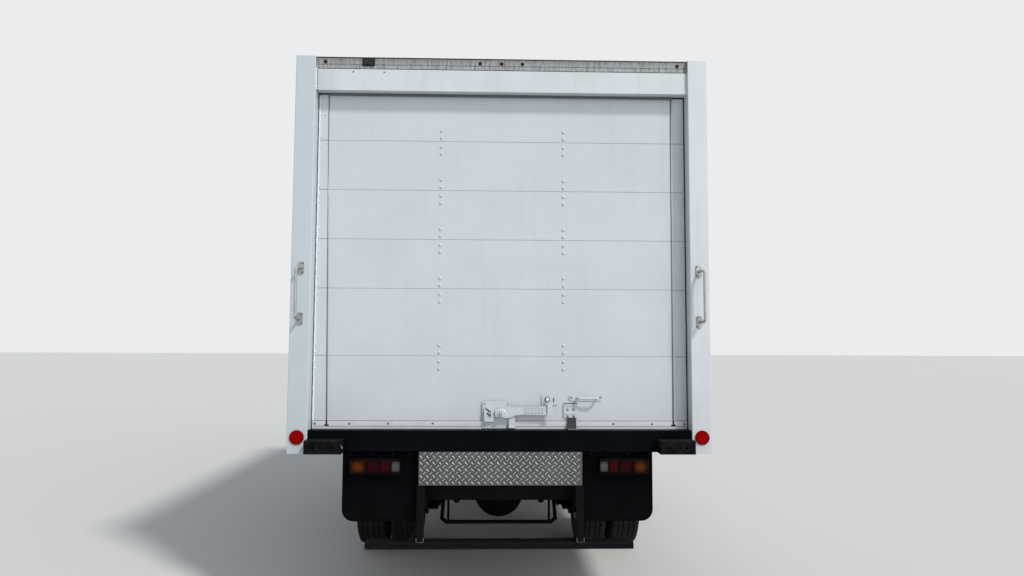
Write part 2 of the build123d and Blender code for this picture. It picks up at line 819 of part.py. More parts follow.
# Door hardware: a slam latch with a long lever, its keeper and catch, and a pull handle
trim_face_y = rear_y + door_s - 6
plate_thickness = 5
latch_plate = [(-108, 1071), (56, 1071), (56, 1228), (-108, 1228)]
lever_outline = [
    (-33, 1140),
    (40, 1132),
    (87, 1149),
    (120, 1153),
    (262, 1150),
    (269, 1176),
    (262, 1201),
    (120, 1192),
    (87, 1193),
    (40, 1196),
    (-33, 1182),
]
pivot_x = 5
pivot_z = 1161
lever_lift = 16
lever_thickness = 12
grip_ribs = [138, 158, 178, 198, 218, 238]
face_y = trim_face_y - fit_gap
plate_face_y = face_y - plate_thickness
lever_back_y = plate_face_y - lever_lift
lever_face_y = lever_back_y - lever_thickness
keeper_y = door_face_y - fit_gap
with BuildPart() as door_hardware:
    add(front_block(latch_plate, face_y, plate_face_y, 8))
    # pivot: a boss on the plate, a washer and a hexagon nut over the lever
    add(peg(pivot_x, pivot_z, lever_back_y, plate_face_y, 34))
    add(front_block(lever_outline, lever_back_y, lever_face_y, 7))
    add(peg(pivot_x, pivot_z, lever_face_y - 3, lever_face_y, 24))
    with BuildSketch(across(lever_face_y - 3)):
        with Locations((pivot_x, pivot_z)):
            RegularPolygon(15, 6)
    extrude(amount=9)
    for x in grip_ribs:
        add(span(x, x + 5, lever_face_y, lever_face_y - 2.5, 1160, 1190))
    # hook strap that hangs from the pivot over the sill, with a rolled end
    add(front_block([(46, 1074), (83, 1074), (83, 1142), (46, 1142)], lever_back_y, lever_back_y + 6, 6))
    add(rod(46, 83, lever_back_y + 1, 1077, 8))
    # lug with its slot on the plate's left
    lug = front_block([(-97, 1109), (-40, 1109), (-40, 1196), (-97, 1196)], plate_face_y, plate_face_y - 16, 14)
    add(lug)
    lug_slot = [(-78, 1132), (-58, 1132), (-58, 1174), (-78, 1174)]
    add(front_block(lug_slot, plate_face_y - 8, plate_face_y - 17, 9), mode=Mode.SUBTRACT)
    # keeper plate with a bolt, and the catch that holds the lever's end
    add(front_block([(239, 1206), (335, 1206), (335, 1267), (239, 1267)], keeper_y, keeper_y - 6, 8))
    add(peg(273, 1239, keeper_y - 9, keeper_y, 17))
    with BuildSketch(across(keeper_y - 9)):
        with Locations((273, 1239)):
            RegularPolygon(12, 6)
    extrude(amount=8)
    catch = [
        (keeper_y, 1206),
        (keeper_y - 48, 1206),
        (keeper_y - 48, 1150),
        (keeper_y - 40, 1150),
        (keeper_y - 40, 1198),
        (keeper_y, 1198),
    ]
    add(side_block(catch, 270, 300))
    add(span(239, 270, keeper_y, keeper_y - 6, 1200, 1212))
    # pull handle: a long plate with round ends and a bent grip bar
    pull_plate = [(398, 1230), (600, 1230), (600, 1267), (398, 1267)]
    add(front_block(pull_plate, keeper_y, keeper_y - 5, 17))
    grip = [
        (449, keeper_y - 3, 1247),
        (449, keeper_y - 42, 1247),
        (564, keeper_y - 42, 1247),
        (564, keeper_y - 3, 1247),
    ]
    add(bent_bar(grip, 7, 16))
    # strap clamp: a pressed plate over the strap's end
    add(front_block([(368, 1132), (452, 1132), (452, 1220), (368, 1220)], keeper_y, keeper_y - 7, 9))
    add(span(376, 444, keeper_y - 7, keeper_y - 10, 1150, 1158))
    add(span(376, 444, keeper_y - 7, keeper_y - 10, 1200, 1208))
save(door_hardware.part, "door_hardware")

# Pull strap: webbing that hangs from the clamp over the threshold and folds under itself
strap_path = [
    (trim_face_y - fit_gap, 1132 - fit_gap),
    (trim_face_y - fit_gap - 4, 1132 - fit_gap),
    (trim_face_y - 12, 1100),
    (trim_face_y - 26, 1072),
    (trim_face_y - 60, sill_top_z + 3),
    (trim_face_y - 60, sill_top_z + fit_gap),
    (trim_face_y - fit_gap, sill_top_z + fit_gap),
    (trim_face_y - fit_gap, 1082),
]
with BuildPart() as pull_strap:
    add(side_block(strap_path, 389, 440))
save(pull_strap.part, "pull_strap")

# Grab handles on the posts: a bent round bar between two oval plates
# columns: side, plate and bar from the post's middle, lower and upper end
handle_table = [(-1, -1, 11, 1702, 1995), (1, -7, 9, 1693, 1989)]
handle_bar = 8
handle_reach = 62
with BuildPart() as grab_handles:
    for side, plate_off, bar_off, low_z, high_z in handle_table:
        plate_x = side * (post_middle + plate_off)
        bar_x = side * (post_middle + bar_off)
        for z in (low_z, high_z):
            with BuildSketch(across(rear_y - fit_gap)):
                with Locations((plate_x, z)):
                    SlotOverall(74, 34, rotation=90)
            extrude(amount=5)
        bar = [
            (plate_x, rear_y - 4, high_z),
            (bar_x, rear_y - handle_reach, high_z),
            (bar_x, rear_y - handle_reach, low_z),
            (plate_x, rear_y - 4, low_z),
        ]
        add(bent_bar(bar, handle_bar, 22))
save(grab_handles.part, "grab_handles")

# Reflectors on the post feet
with BuildPart() as reflectors:
    for side in (-1, 1):
        add(peg(side * post_middle, 1027, rear_y - 6 - fit_gap, rear_y - fit_gap, 41))
        add(peg(side * post_middle, 1027, rear_y - 9 - fit_gap, rear_y - fit_gap, 36))
save(reflectors.part, "reflectors")

# Mud flaps hung from the sill, with rounded lower corners and a raised border
# columns: inner x, outer x
flap_table = [(-470, -908), (470, 881)]
flap_face_y = rear_y + 47
flap_foot_z = 546
flap_outer_radius = 66
flap_inner_radius = 18


def flap_outline(inner, outer, inset):
    """A flap's outline drawn in by an inset, its lower corners rounded."""
    sign = 1 if outer > 0 else -1
    x_in, x_out = inner + sign * inset, outer - sign * inset
    foot, head = flap_foot_z + inset, sill_bottom_z - fit_gap - inset
    with BuildSketch(across(flap_face_y), mode=Mode.PRIVATE) as flap:
        with BuildLine():
            Polyline((x_in, foot), (x_out, foot), (x_out, head), (x_in, head), close=True)
        make_face()
        corners = flap.vertices().group_by(Axis.Z)[0].sort_by(Axis.X)
        outer_corner = corners[-1] if sign > 0 else corners[0]
        inner_corner = corners[0] if sign > 0 else corners[-1]
        fillet(outer_corner, flap_outer_radius - inset)
        fillet(inner_corner, max(flap_inner_radius - inset, 4))
    return flap.sketch


with BuildPart() as mud_flaps:
    for inner, outer in flap_table:
        extrude(flap_outline(inner, outer, 0), amount=-8)
        border = flap_outline(inner, outer, 10) - flap_outline(inner, outer, 15)
        extrude(border, amount=3)
save(mud_flaps.part, "mud_flaps")

# Tail lamps: black housings with four lenses each
# columns: outer end, inner end
lamp_table = [(-864, -572), (857, 569)]
# columns: start and end from the outer end, lower and upper edge, standing out
lens_table = [
    (6, 97, 823, 897, 13),
    (98, 176, 823, 897, 13),
    (177, 233, 823, 897, 9),
    (241, 286, 829, 891, 10),
]
lamp_face_y = rear_y + 16
with BuildPart() as tail_lamp_housings:
    for outer, inner in lamp_table:
        sign = 1 if outer > 0 else -1
        housing = [(outer, 815), (inner, 815), (inner, 905), (outer, 905)]
        add(front_block(housing, lamp_face_y, flap_face_y - fit_gap, 12))
        add(span(outer - sign * 233.5, outer - sign * 240.5, lamp_face_y, lamp_face_y - 5, 823, 897))
save(tail_lamp_housings.part, "tail_lamp_housings")

with BuildPart() as tail_lamp_lenses:
    for outer, inner in lamp_table:
        sign = 1 if outer > 0 else -1
        for start, end, low, high, proud in lens_table:
            lens = span(
                outer - sign * start,
                outer - sign * end,
                lamp_face_y - fit_gap - proud,
                lamp_face_y - fit_gap,
                low,
                high,
            )
            rim = lens.edges().group_by(Axis.Y)[0]
            add(lens.chamfer(4, None, rim))
save(tail_lamp_lenses.part, "tail_lamp_lenses")

# Tread plate between the flaps
with BuildPart() as tread_plate:
    add(span(-467, 467, rear_y + 2, rear_y + 6, 757, sill_bottom_z - 2))
    add(span(-467, 467, rear_y + 2, rear_y + 62 - fit_gap, 757, 761))
    add(span(-467, 467, rear_y + 2, rear_y + 62 - fit_gap, sill_bottom_z - 6, sill_bottom_z - 2))
save(tread_plate.part, "tread_plate")

# Underride guard: square uprights on the rails and a deep bottom bar
guard_face_y = rear_y + 6
guard_depth = 95
with BuildPart() as underride_guard:
    bar = [
        (guard_face_y, 405),
        (guard_face_y + 6, 399),
        (guard_face_y + guard_depth - 6, 399),
        (guard_face_y + guard_depth, 405),
        (guard_face_y + guard_depth, 431),
        (guard_face_y + guard_depth - 6, 437),
        (guard_face_y + 6, 437),
        (guard_face_y, 431),
    ]
    add(side_block(bar, -766, 760))
    for side in (-1, 1):
        add(span(side * 437, side * 477, guard_face_y, guard_face_y + 40, 437, 755))
        add(span(side * (rail_outer_x + fit_gap), side * 437, guard_face_y, guard_face_y + 160, 625, 755))
        gusset = [(guard_face_y + 40, 437), (guard_face_y + 90, 437), (guard_face_y + 40, 520)]
        add(side_block(gusset, side * 453, side * 461))
        side_gusset = [(side * 477, 437), (side * 537, 437), (side * 477, 497)]
        add(front_block(side_gusset, guard_face_y + 14, guard_face_y + 22))
save(underride_guard.part, "underride_guard")

# Cab: outer sections from the foot to the roof
# columns: height, front t, back t, half width, front corner radius, rear corner radius
cab_sections = [
    (cab_bottom_z, 84, cab_depth - 2, 985, 150, 60),
    (1000, 72, cab_depth, 998, 150, 60),
    (belt_z, 92, cab_depth, 998, 140, 60),
    (2060, 400, cab_depth - 2, 930, 110, 60),
    (2180, 480, cab_depth - 15, 900, 110, 60),
    (2250, 640, cab_depth - 80, 800, 90, 60),
]


def cab_form(inset, drop=0):
    """The cab's outer form drawn in by an inset, with its foot lowered by a drop."""
    with BuildPart(mode=Mode.PRIVATE) as form:
        for row, (height, front, back, half, front_radius, back_radius) in enumerate(cab_sections):
            level = height
            if row == 0:
                level = height - drop
            if row == len(cab_sections) - 1:
                level = height - inset
            with BuildSketch(Plane.XY.offset(level)):
                with Locations((0, behind_nose((front + back) / 2))):
                    Rectangle(2 * (half - inset), back - front - 2 * inset)
                fillet(vertices().group_by(Axis.Y)[-1], max(front_radius - inset, 10))
                fillet(vertices().group_by(Axis.Y)[0], max(back_radius - inset, 10))
        loft(ruled=True)
    return form.part


cab_outer = cab_form(0)
cab_inner = cab_form(cab_wall, 10)
glass_outer = cab_form(18, 10)
glass_inner = cab_form(23, 10)

door_outline = [
    (behind_nose(door_front_t), 650),
    (behind_nose(door_front_t), 1345),
    (behind_nose(534), door_top_z),
    (behind_nose(door_back_t), door_top_z),
    (behind_nose(door_back_t), 650),
]
window_outline = [
    (behind_nose(370), 1400),
    (behind_nose(590), 2000),
    (behind_nose(1150), 2000),
    (behind_nose(1150), 1400),
]
windscreen_outline = [(-860, 1400), (-790, 2030), (790, 2030), (860, 1400)]
rear_window_outline = [(-480, 1500), (-480, 1950), (480, 1950), (480, 1500)]

door_opening = side_block(door_outline, 0, 1100, 30)
with BuildPart() as door_cut:
    with BuildSketch(lengthwise(0)):
        with BuildLine():
            Polyline(*door_outline, close=True)
        make_face()
        fillet(vertices(), 30)
        offset(amount=-panel_gap)
        with Locations((front_axle_y, tyre_radius)):
            Circle(arch_radius + panel_gap, mode=Mode.SUBTRACT)
    extrude(amount=1100)
window_opening = side_block(window_outline, 0, 1100, 45)
window_pane = side_block(
    [
        (behind_nose(370) - 1.2 * fit_gap, 1400 + fit_gap),
        (behind_nose(590) - 1.2 * fit_gap, 2000 - fit_gap),
        (behind_nose(1150) + fit_gap, 2000 - fit_gap),
        (behind_nose(1150) + fit_gap, 1400 + fit_gap),
    ],
    0,
    1100,
    45,
)
windscreen_opening = front_block(windscreen_outline, nose_y, behind_nose(700), 50)
windscreen_pane = front_block(
    [
        (-860 + fit_gap, 1400 + fit_gap),
        (-790 + fit_gap, 2030 - fit_gap),
        (790 - fit_gap, 2030 - fit_gap),
        (860 - fit_gap, 1400 + fit_gap),
    ],
    nose_y,
    behind_nose(700),
    50,
)
rear_window_from_y = behind_nose(cab_depth - 140)
rear_window_to_y = behind_nose(cab_depth + 60)
rear_window_opening = front_block(rear_window_outline, rear_window_from_y, rear_window_to_y, 40)
rear_window_pane = front_block(
    [
        (-480 + fit_gap, 1500 + fit_gap),
        (-480 + fit_gap, 1950 - fit_gap),
        (480 - fit_gap, 1950 - fit_gap),
        (480 - fit_gap, 1500 + fit_gap),
    ],
    rear_window_from_y,
    rear_window_to_y,
    40,
)
grille_outline = [(-560, 720), (-560, 900), (560, 900), (560, 720)]
headlamp_outline = [(600, 720), (600, 900), (1100, 900), (1100, 720)]

# Pockets in the nose for the grille and the headlamps
with BuildPart() as pockets:
    add(front_block(headlamp_outline, nose_y, behind_nose(240), 20))
    mirror(about=Plane.YZ)
    add(front_block(grille_outline, nose_y, behind_nose(400), 20))
    add(cab_form(30, 10), mode=Mode.SUBTRACT)

# Door hinges: a lower knuckle on the shell and an upper one on the door, turning on one axis
def hinge_knuckles(level, clearance=0):
    """The knuckles of the right door at one side of each hinge: level 0 the shell's, 1 the door's."""
    low = level * knuckle_height + fit_gap / 2 - clearance
    high = (level + 1) * knuckle_height - fit_gap / 2 + clearance
    y = behind_nose(door_axis_t)
    return [post(door_axis_x, y, z + low, z + high, hinge_radius + clearance) for z in hinge_heights]


# Cab shell, before it is split into panels
with BuildPart() as cab_shell:
    add(cab_outer)
    with BuildSketch(lengthwise(-1100)):
        with Locations((front_axle_y, tyre_radius)):
            Circle(arch_radius)
    extrude(amount=2200, mode=Mode.SUBTRACT)
    behind_cab_y = behind_nose(cab_depth + 160)
    behind_arch = span(-1100, 1100, front_axle_y, behind_cab_y, cab_bottom_z - 30, cab_rear_foot_z)
    add(behind_arch, mode=Mode.SUBTRACT)
    add(cab_inner, mode=Mode.SUBTRACT)
    add(door_opening, mode=Mode.SUBTRACT)
    add(mirror(door_opening, about=Plane.YZ, mode=Mode.PRIVATE), mode=Mode.SUBTRACT)
    add(windscreen_opening, mode=Mode.SUBTRACT)
    add(rear_window_opening, mode=Mode.SUBTRACT)
    add(pockets.part, mode=Mode.SUBTRACT)
    for side in (0, 1):
        for knuckle in hinge_knuckles(1, fit_gap):
            add(knuckle if side else mirror(knuckle, about=Plane.YZ, mode=Mode.PRIVATE), mode=Mode.SUBTRACT)
        for knuckle in hinge_knuckles(0):
            add(knuckle if side else mirror(knuckle, about=Plane.YZ, mode=Mode.PRIVATE))

# The shell's panels, split at their seams
nose_top_z = 1402
roof_seam_z = 2028
nose_back_t = 320
wall_front_t = cab_depth - 100
seam = fit_gap / 2
far = 1200


def panel_of_shell(name, *blocks):
    """Saves the parts of the shell that lie in the blocks as one piece."""
    with BuildPart() as panel:
        add(cab_shell.part)
        add(list(blocks), mode=Mode.INTERSECT)
    save(panel.part, name)


def shell_block(t_from, t_to, z_from, z_to, x_from=-far, x_to=far):
    """A block round the shell between two places behind the nose and two heights."""
    return span(x_from, x_to, behind_nose(t_from), behind_nose(t_to), z_from, z_to)


panel_of_shell("cab_nose", shell_block(-100, nose_back_t, 500, nose_top_z - seam))
panel_of_shell("cab_pillars", shell_block(0, door_back_t - 100, nose_top_z + seam, roof_seam_z - seam))
panel_of_shell(
    "cab_sides",
    shell_block(nose_back_t + fit_gap, door_back_t - 100, 500, 700),
    shell_block(door_back_t - 50, wall_front_t - seam, cab_bottom_z, roof_seam_z - seam),
)
panel_of_shell(
    "cab_back_wall",
    shell_block(wall_front_t + seam, cab_depth + 100, cab_bottom_z, roof_seam_z - seam),
)
panel_of_shell("cab_roof", shell_block(-100, cab_depth + 100, roof_seam_z + seam, 2400))

# Grille panel with slats, and headlamps, in their pockets
slat_places = [740, 776, 812, 848]
slat_gap = 24
grille_inner = cab_form(30 - fit_gap, 10)
with BuildPart() as front_grille:
    add(cab_form(4, 10))
    add(grille_inner, mode=Mode.SUBTRACT)
    add(
        front_block(
            [(-560 + fit_gap, 720 + fit_gap), (-560 + fit_gap, 900 - fit_gap), (560 - fit_gap, 900 - fit_gap), (560 - fit_gap, 720 + fit_gap)],
            nose_y,
            behind_nose(400),
            20,
        ),
        mode=Mode.INTERSECT,
    )
    slots = [span(-530, 530, nose_y, behind_nose(400), z, z + slat_gap) for z in slat_places]
    with BuildPart(mode=Mode.PRIVATE) as slot_cut:
        add(slots)
        add(cab_form(22, 10), mode=Mode.SUBTRACT)
    add(slot_cut.part, mode=Mode.SUBTRACT)
save(front_grille.part, "front_grille")

with BuildPart() as headlamps:
    add(cab_form(-4, 10))
    add(grille_inner, mode=Mode.SUBTRACT)
    lamp_block = front_block(
        [(600 + fit_gap, 720 + fit_gap), (600 + fit_gap, 900 - fit_gap), (1100, 900 - fit_gap), (1100, 720 + fit_gap)],
        nose_y,
        behind_nose(240) + fit_gap,
        20,
    )
    both_lamps = lamp_block + mirror(lamp_block, about=Plane.YZ, mode=Mode.PRIVATE)
    add(both_lamps, mode=Mode.INTERSECT)
    # a groove between the main lamp and the turn lamp at the corner
    with BuildPart(mode=Mode.PRIVATE) as groove:
        for side in (-1, 1):
            add(span(side * 846, side * 854, nose_y, behind_nose(300), 700, 920))
        add(cab_form(4, 10), mode=Mode.SUBTRACT)
    add(groove.part, mode=Mode.SUBTRACT)
save(headlamps.part, "headlamps")

# Cab glass: windscreen and rear window
with BuildPart() as cab_glass:
    add(glass_outer)
    add(glass_inner, mode=Mode.SUBTRACT)
    both_panes = windscreen_pane + rear_window_pane
    add(both_panes, mode=Mode.INTERSECT)
save(cab_glass.part, "cab_glass")

# Doors, right then left: each has an arch lip, a handle and its hinge knuckles
cab_side_x = 998
lip_width = 26
lip_height = 8
handle_outline = [
    (behind_nose(1170), 1178),
    (behind_nose(1030), 1178),
    (behind_nose(1030), 1216),
    (behind_nose(1170), 1216),
]
handle_pocket = [
    (behind_nose(1150), 1170),
    (behind_nose(1050), 1170),
    (behind_nose(1050), 1206),
    (behind_nose(1150), 1206),
]
with BuildPart() as door_right:
    add(cab_outer)
    add(cab_inner, mode=Mode.SUBTRACT)
    add(door_cut.part, mode=Mode.INTERSECT)
    add(window_opening, mode=Mode.SUBTRACT)
    with BuildSketch(lengthwise(cab_side_x - 25)):
        with Locations((front_axle_y, tyre_radius)):
            Circle(arch_radius + panel_gap + lip_width)
            Circle(arch_radius + panel_gap, mode=Mode.SUBTRACT)
        with Locations((behind_nose((door_front_t + door_back_t) / 2), 860)):
            Rectangle(door_back_t - door_front_t - 2 * panel_gap - 40, 300, mode=Mode.INTERSECT)
    extrude(amount=25 + lip_height)
    add(side_block(handle_outline, cab_side_x - 12, cab_side_x + 32, 9))
    add(side_block(handle_pocket, cab_side_x - 30, cab_side_x + 20, 9), mode=Mode.SUBTRACT)
    add(hinge_knuckles(0, fit_gap), mode=Mode.SUBTRACT)
    add(hinge_knuckles(1))
save(door_right.part, "door_right")
save(mirror(door_right.part, about=Plane.YZ), "door_left")

with BuildPart() as door_glass_right:
    add(glass_outer)
    add(glass_inner, mode=Mode.SUBTRACT)
    add(window_pane, mode=Mode.INTERSECT)
save(door_glass_right.part, "door_glass_right")
save(mirror(door_glass_right.part, about=Plane.YZ), "door_glass_left")

# Cab floor: footwell, riser and seat platform, with the tilt hinge arms
footwell_z = 860
platform_z = 1000
cab_floor_half = 936
with BuildPart() as cab_floor:
    add(span(-cab_floor_half, cab_floor_half, behind_nose(126.7), behind_nose(700), footwell_z, footwell_z + 15))
    add(span(-cab_floor_half, cab_floor_half, behind_nose(690), behind_nose(705), footwell_z, platform_z + 15))
    platform_back_t = cab_depth - cab_wall - fit_gap
    add(span(-cab_floor_half, cab_floor_half, behind_nose(690), behind_nose(platform_back_t), platform_z, platform_z + 15))
    add(cab_form(cab_wall + fit_gap, 10), mode=Mode.INTERSECT)
    for side in (-1, 1):
        arm = side_block(
            [
                (behind_nose(136), footwell_z),
                (behind_nose(190), footwell_z),
                (behind_nose(tilt_t + 56), tilt_z + 80),
                (behind_nose(tilt_t + 40), tilt_z - 15),
                (behind_nose(tilt_t), tilt_z - 30),
                (behind_nose(tilt_t - 28), tilt_z - 15),
                (behind_nose(tilt_t - 28), tilt_z + 20),
                (behind_nose(136), cab_bottom_z - 4),
            ],
            side * 345,
            side * 400,
        )
        add(arm)
    add(
        rod(-440, 440, behind_nose(tilt_t), tilt_z, hinge_pin_radius + 0.5),
        mode=Mode.SUBTRACT,
    )
save(cab_floor.part, "cab_floor")

# Dashboard, open where the steering column passes
column_radius = 30
wheel_plane = Plane(origin=(-480, behind_nose(720), 1360), z_dir=(0, -0.5, 0.866))
with BuildPart() as dashboard:
    dash = side_block(
        [
            (behind_nose(110), 1060),
            (behind_nose(110), 1330),
            (behind_nose(330), 1370),
            (behind_nose(520), 1330),
            (behind_nose(540), 1230),
            (behind_nose(400), 1060),
        ],
        -900,
        900,
        20,
    )
    add(dash)
    add(cab_form(cab_wall + fit_gap, 10), mode=Mode.INTERSECT)
    with BuildSketch(wheel_plane):
        Circle(column_radius + fit_gap)
    extrude(amount=-700, mode=Mode.SUBTRACT)
save(dashboard.part, "dashboard")

# Steering wheel on its column, on the left
with BuildPart() as steering_wheel:
    with BuildSketch(wheel_plane):
        Circle(215)
        Circle(187, mode=Mode.SUBTRACT)
        Rectangle(380, 40)
        Circle(60)
    extrude(amount=24)
    with BuildSketch(wheel_plane):
        Circle(column_radius)
    extrude(amount=-700)
    under_floor = span(-600, -300, behind_nose(200), behind_nose(700), 500, footwell_z + 15 + fit_gap)
    add(under_floor, mode=Mode.SUBTRACT)
save(steering_wheel.part, "steering_wheel")

# Seats: driver's seat and a double seat
# columns: middle x, half width
seat_table = [(-480, 250), (420, 450)]
cushion_top_z = platform_z + 190
seat_front_t = cab_depth - 860
with BuildPart() as seats:
    for middle, half in seat_table:
        add(
            span(
                middle - half,
                middle + half,
                behind_nose(seat_front_t),
                behind_nose(seat_front_t + 500),
                platform_z + 15 + fit_gap,
                cushion_top_z,
            )
        )
        back = side_block(
            [
                (behind_nose(seat_front_t + 456), cushion_top_z + fit_gap),
                (behind_nose(seat_front_t + 570), cushion_top_z + fit_gap),
                (behind_nose(seat_front_t + 680), platform_z + 850),
                (behind_nose(seat_front_t + 590), platform_z + 850),
            ],
            middle - half,
            middle + half,
            20,
        )
        add(back)
save(seats.part, "seats")

# Mirrors on bent arms from the front corners: a main head and a small wide-angle head below it
with BuildPart() as mirrors:
    head = front_block([(1120, 1530), (1290, 1530), (1290, 1890), (1120, 1890)], behind_nose(196), behind_nose(252), 32)
    wide = front_block([(1125, 1370), (1285, 1370), (1285, 1510), (1125, 1510)], behind_nose(196), behind_nose(246), 32)
    add(head)
    add(wide)
    arm = [
        (860, behind_nose(405), 1990),
        (1080, behind_nose(238), 1960),
        (1204, behind_nose(222), 1940),
    ]
    add(bar_between(arm[0], arm[2], 11))
    add(post(1204, behind_nose(222), 1420, 1944, 11))
    add(bar_between((940, behind_nose(215), 1200), (1204, behind_nose(222), 1430), 11))
    add(cab_form(-fit_gap, 10), mode=Mode.SUBTRACT)
    mirror(about=Plane.YZ)
save(mirrors.part, "mirrors")

# Knuckles: kingpin, yoke, stub axle and steering arm
arm_reach = 90
arm_inset = 40
arm_top_z = 334
hub_face_x = 860
stub_radius = 30
with BuildPart() as knuckle_right:
    with Locations((kingpin_x, front_axle_y, tyre_radius)):
        Cylinder(kingpin_radius, 170)
    for z in (-1, 1):
        with Locations((kingpin_x, front_axle_y, tyre_radius + z * (beam_eye_half + 2 + 18))):
            Cylinder(38, 36)
    yoke_half = 78
    yoke_low, yoke_high = tyre_radius - yoke_half, tyre_radius + yoke_half
    add(span(kingpin_x + 42, kingpin_x + 62, front_axle_y - 45, front_axle_y + 45, yoke_low, yoke_high))
    for z in (-1, 1):
        low = tyre_radius + z * (beam_eye_half + 2)
        high = tyre_radius + z * (beam_eye_half + 36)
        add(span(kingpin_x, kingpin_x + 62, front_axle_y - 36, front_axle_y + 36, low, high))
    add(rod(kingpin_x + 50, hub_face_x + 30, front_axle_y, tyre_radius, stub_radius))
    with BuildSketch(Plane.XY.offset(arm_top_z - 22)):
        with BuildLine():
            Polyline(
                (kingpin_x - 22, front_axle_y),
                (kingpin_x + 22, front_axle_y),
                (kingpin_x - arm_inset + 20, front_axle_y - arm_reach - 20),
                (kingpin_x - arm_inset - 20, front_axle_y - arm_reach - 20),
                close=True,
            )
        make_face()
    extrude(amount=22)
save(knuckle_right.part, "knuckle_right")
save(mirror(knuckle_right.part, about=Plane.YZ), "knuckle_left")

# Tie rod below the steering arms
tie_rod_radius = 15
tie_rod_z = arm_top_z - 22 - fit_gap - tie_rod_radius
with BuildPart() as tie_rod:
    rod_half = kingpin_x - arm_inset
    add(rod(-rod_half, rod_half, front_axle_y - arm_reach, tie_rod_z, tie_rod_radius))
save(tie_rod.part, "tie_rod")

# Tyres: one profile for all six
# columns: radius, offset from the tyre's middle plane
half_width = tyre_width / 2
tyre_profile = [
    (rim_radius + 1, 78),
    (rim_radius + 26, 94),
    (rim_radius + 95, half_width),
    (tyre_radius - 22, 97),
    (tyre_radius, 72),
]
bead_radius = rim_radius + 1


def tyre_at(x, y):
    """A tyre with its middle at x and y."""
    outline = [(x + off, y, tyre_radius + r) for r, off in tyre_profile]
    outline += [(x - off, y, tyre_radius + r) for r, off in reversed(tyre_profile)]
    with BuildPart(mode=Mode.PRIVATE) as tyre:
        with BuildSketch(Plane.XZ.offset(-y)):
            with BuildLine():
                Polyline(*[(p[0], p[2]) for p in outline], close=True)
            make_face()
        revolve(axis=Axis((x, y, tyre_radius), (1, 0, 0)))
    return tyre.part


# Rims: a barrel with flanges and a dished disc
# columns: radius, offset towards the outside
barrel_profile = [
    (rim_radius + 10, 92),
    (rim_radius + 10, 85),
    (rim_radius + 1 - fit_gap, 85),
    (rim_radius + 1 - fit_gap, -85),
    (rim_radius + 10, -85),
    (rim_radius + 10, -92),
    (rim_radius - 8, -92),
    (rim_radius - 22, -66),
    (rim_radius - 22, 66),
    (rim_radius - 8, 92),
]


hand_hole_count = 6
hand_hole_circle = 141
hand_hole_radius = 17


def rim_at(x, y, disc, join, bore):
    """A rim with its disc's inner face at one offset, meeting the barrel at another."""
    step = 0.4 * (join - disc)
    disc_profile = [
        (bore, disc),
        (100, disc),
        (122, disc + step),
        (164, disc + step),
        (rim_radius - 21, join - 7),
        (rim_radius - 21, join + 7),
        (160, disc + step + 10),
        (118, disc + step + 10),
        (100, disc + 10),
        (bore, disc + 10),
    ]
    with BuildPart(mode=Mode.PRIVATE) as rim:
        for profile in (barrel_profile, disc_profile):
            with BuildSketch(across(y)):
                with BuildLine():
                    Polyline(*[(x + off, tyre_radius + r) for r, off in profile], close=True)
                make_face()
            revolve(axis=Axis((x, y, tyre_radius), (1, 0, 0)))
        # hand holes through the sloping ring of the disc
        for place in range(hand_hole_count):
            turn = radians(360 * (place + 0.5) / hand_hole_count)
            hole_y = y + hand_hole_circle * cos(turn)
            hole_z = tyre_radius + hand_hole_circle * sin(turn)
            add(rod(x - 80, x + 75, hole_y, hole_z, hand_hole_radius), mode=Mode.SUBTRACT)
    return rim.part


front_disc = hub_face_x - front_wheel_x
stub_clear = 0.5
with BuildPart() as tyre_front_right:
    add(tyre_at(front_wheel_x, front_axle_y))
save(tyre_front_right.part, "tyre_front_right")
save(mirror(tyre_front_right.part, about=Plane.YZ), "tyre_front_left")

with BuildPart() as rim_front_right:
    add(rim_at(front_wheel_x, front_axle_y, front_disc, 10, stub_radius + stub_clear))
    add(rod(hub_face_x - 2, hub_face_x + 40, front_axle_y, tyre_radius, 75))
    add(rod(hub_face_x + 40, hub_face_x + 62, front_axle_y, tyre_radius, 58))
    add(rod(hub_face_x + 62, hub_face_x + 70, front_axle_y, tyre_radius, 40))
    add(rod(hub_face_x - 40, hub_face_x + 40, front_axle_y, tyre_radius, stub_radius + stub_clear), mode=Mode.SUBTRACT)
save(rim_front_right.part, "rim_front_right")
save(mirror(rim_front_right.part, about=Plane.YZ), "rim_front_left")

with BuildPart() as tyres_rear_right:
    add(tyre_at(twin_outer_x, rear_axle_y))
    add(tyre_at(twin_inner_x, rear_axle_y))
save(tyres_rear_right.part, "tyres_rear_right")
save(mirror(tyres_rear_right.part, about=Plane.YZ), "tyres_rear_left")

twin_face_x = (twin_outer_x + twin_inner_x) / 2
with BuildPart() as rims_rear_right:
    add(rim_at(twin_outer_x, rear_axle_y, twin_face_x - twin_outer_x, -50, 60))
    add(rim_at(twin_inner_x, rear_axle_y, twin_face_x - twin_inner_x - 10, 50, 60))
    add(rod(axle_end_x + fit_gap, twin_face_x + 96, rear_axle_y, tyre_radius, 84))
    add(rod(twin_face_x + 96, twin_face_x + 108, rear_axle_y, tyre_radius, 92))
    add(rod(twin_face_x + 108, twin_face_x + 122, rear_axle_y, tyre_radius, 56))
save(rims_rear_right.part, "rims_rear_right")
save(mirror(rims_rear_right.part, about=Plane.YZ), "rims_rear_left")
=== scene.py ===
import math

import bmesh
import bpy
from mathutils import Matrix, Vector


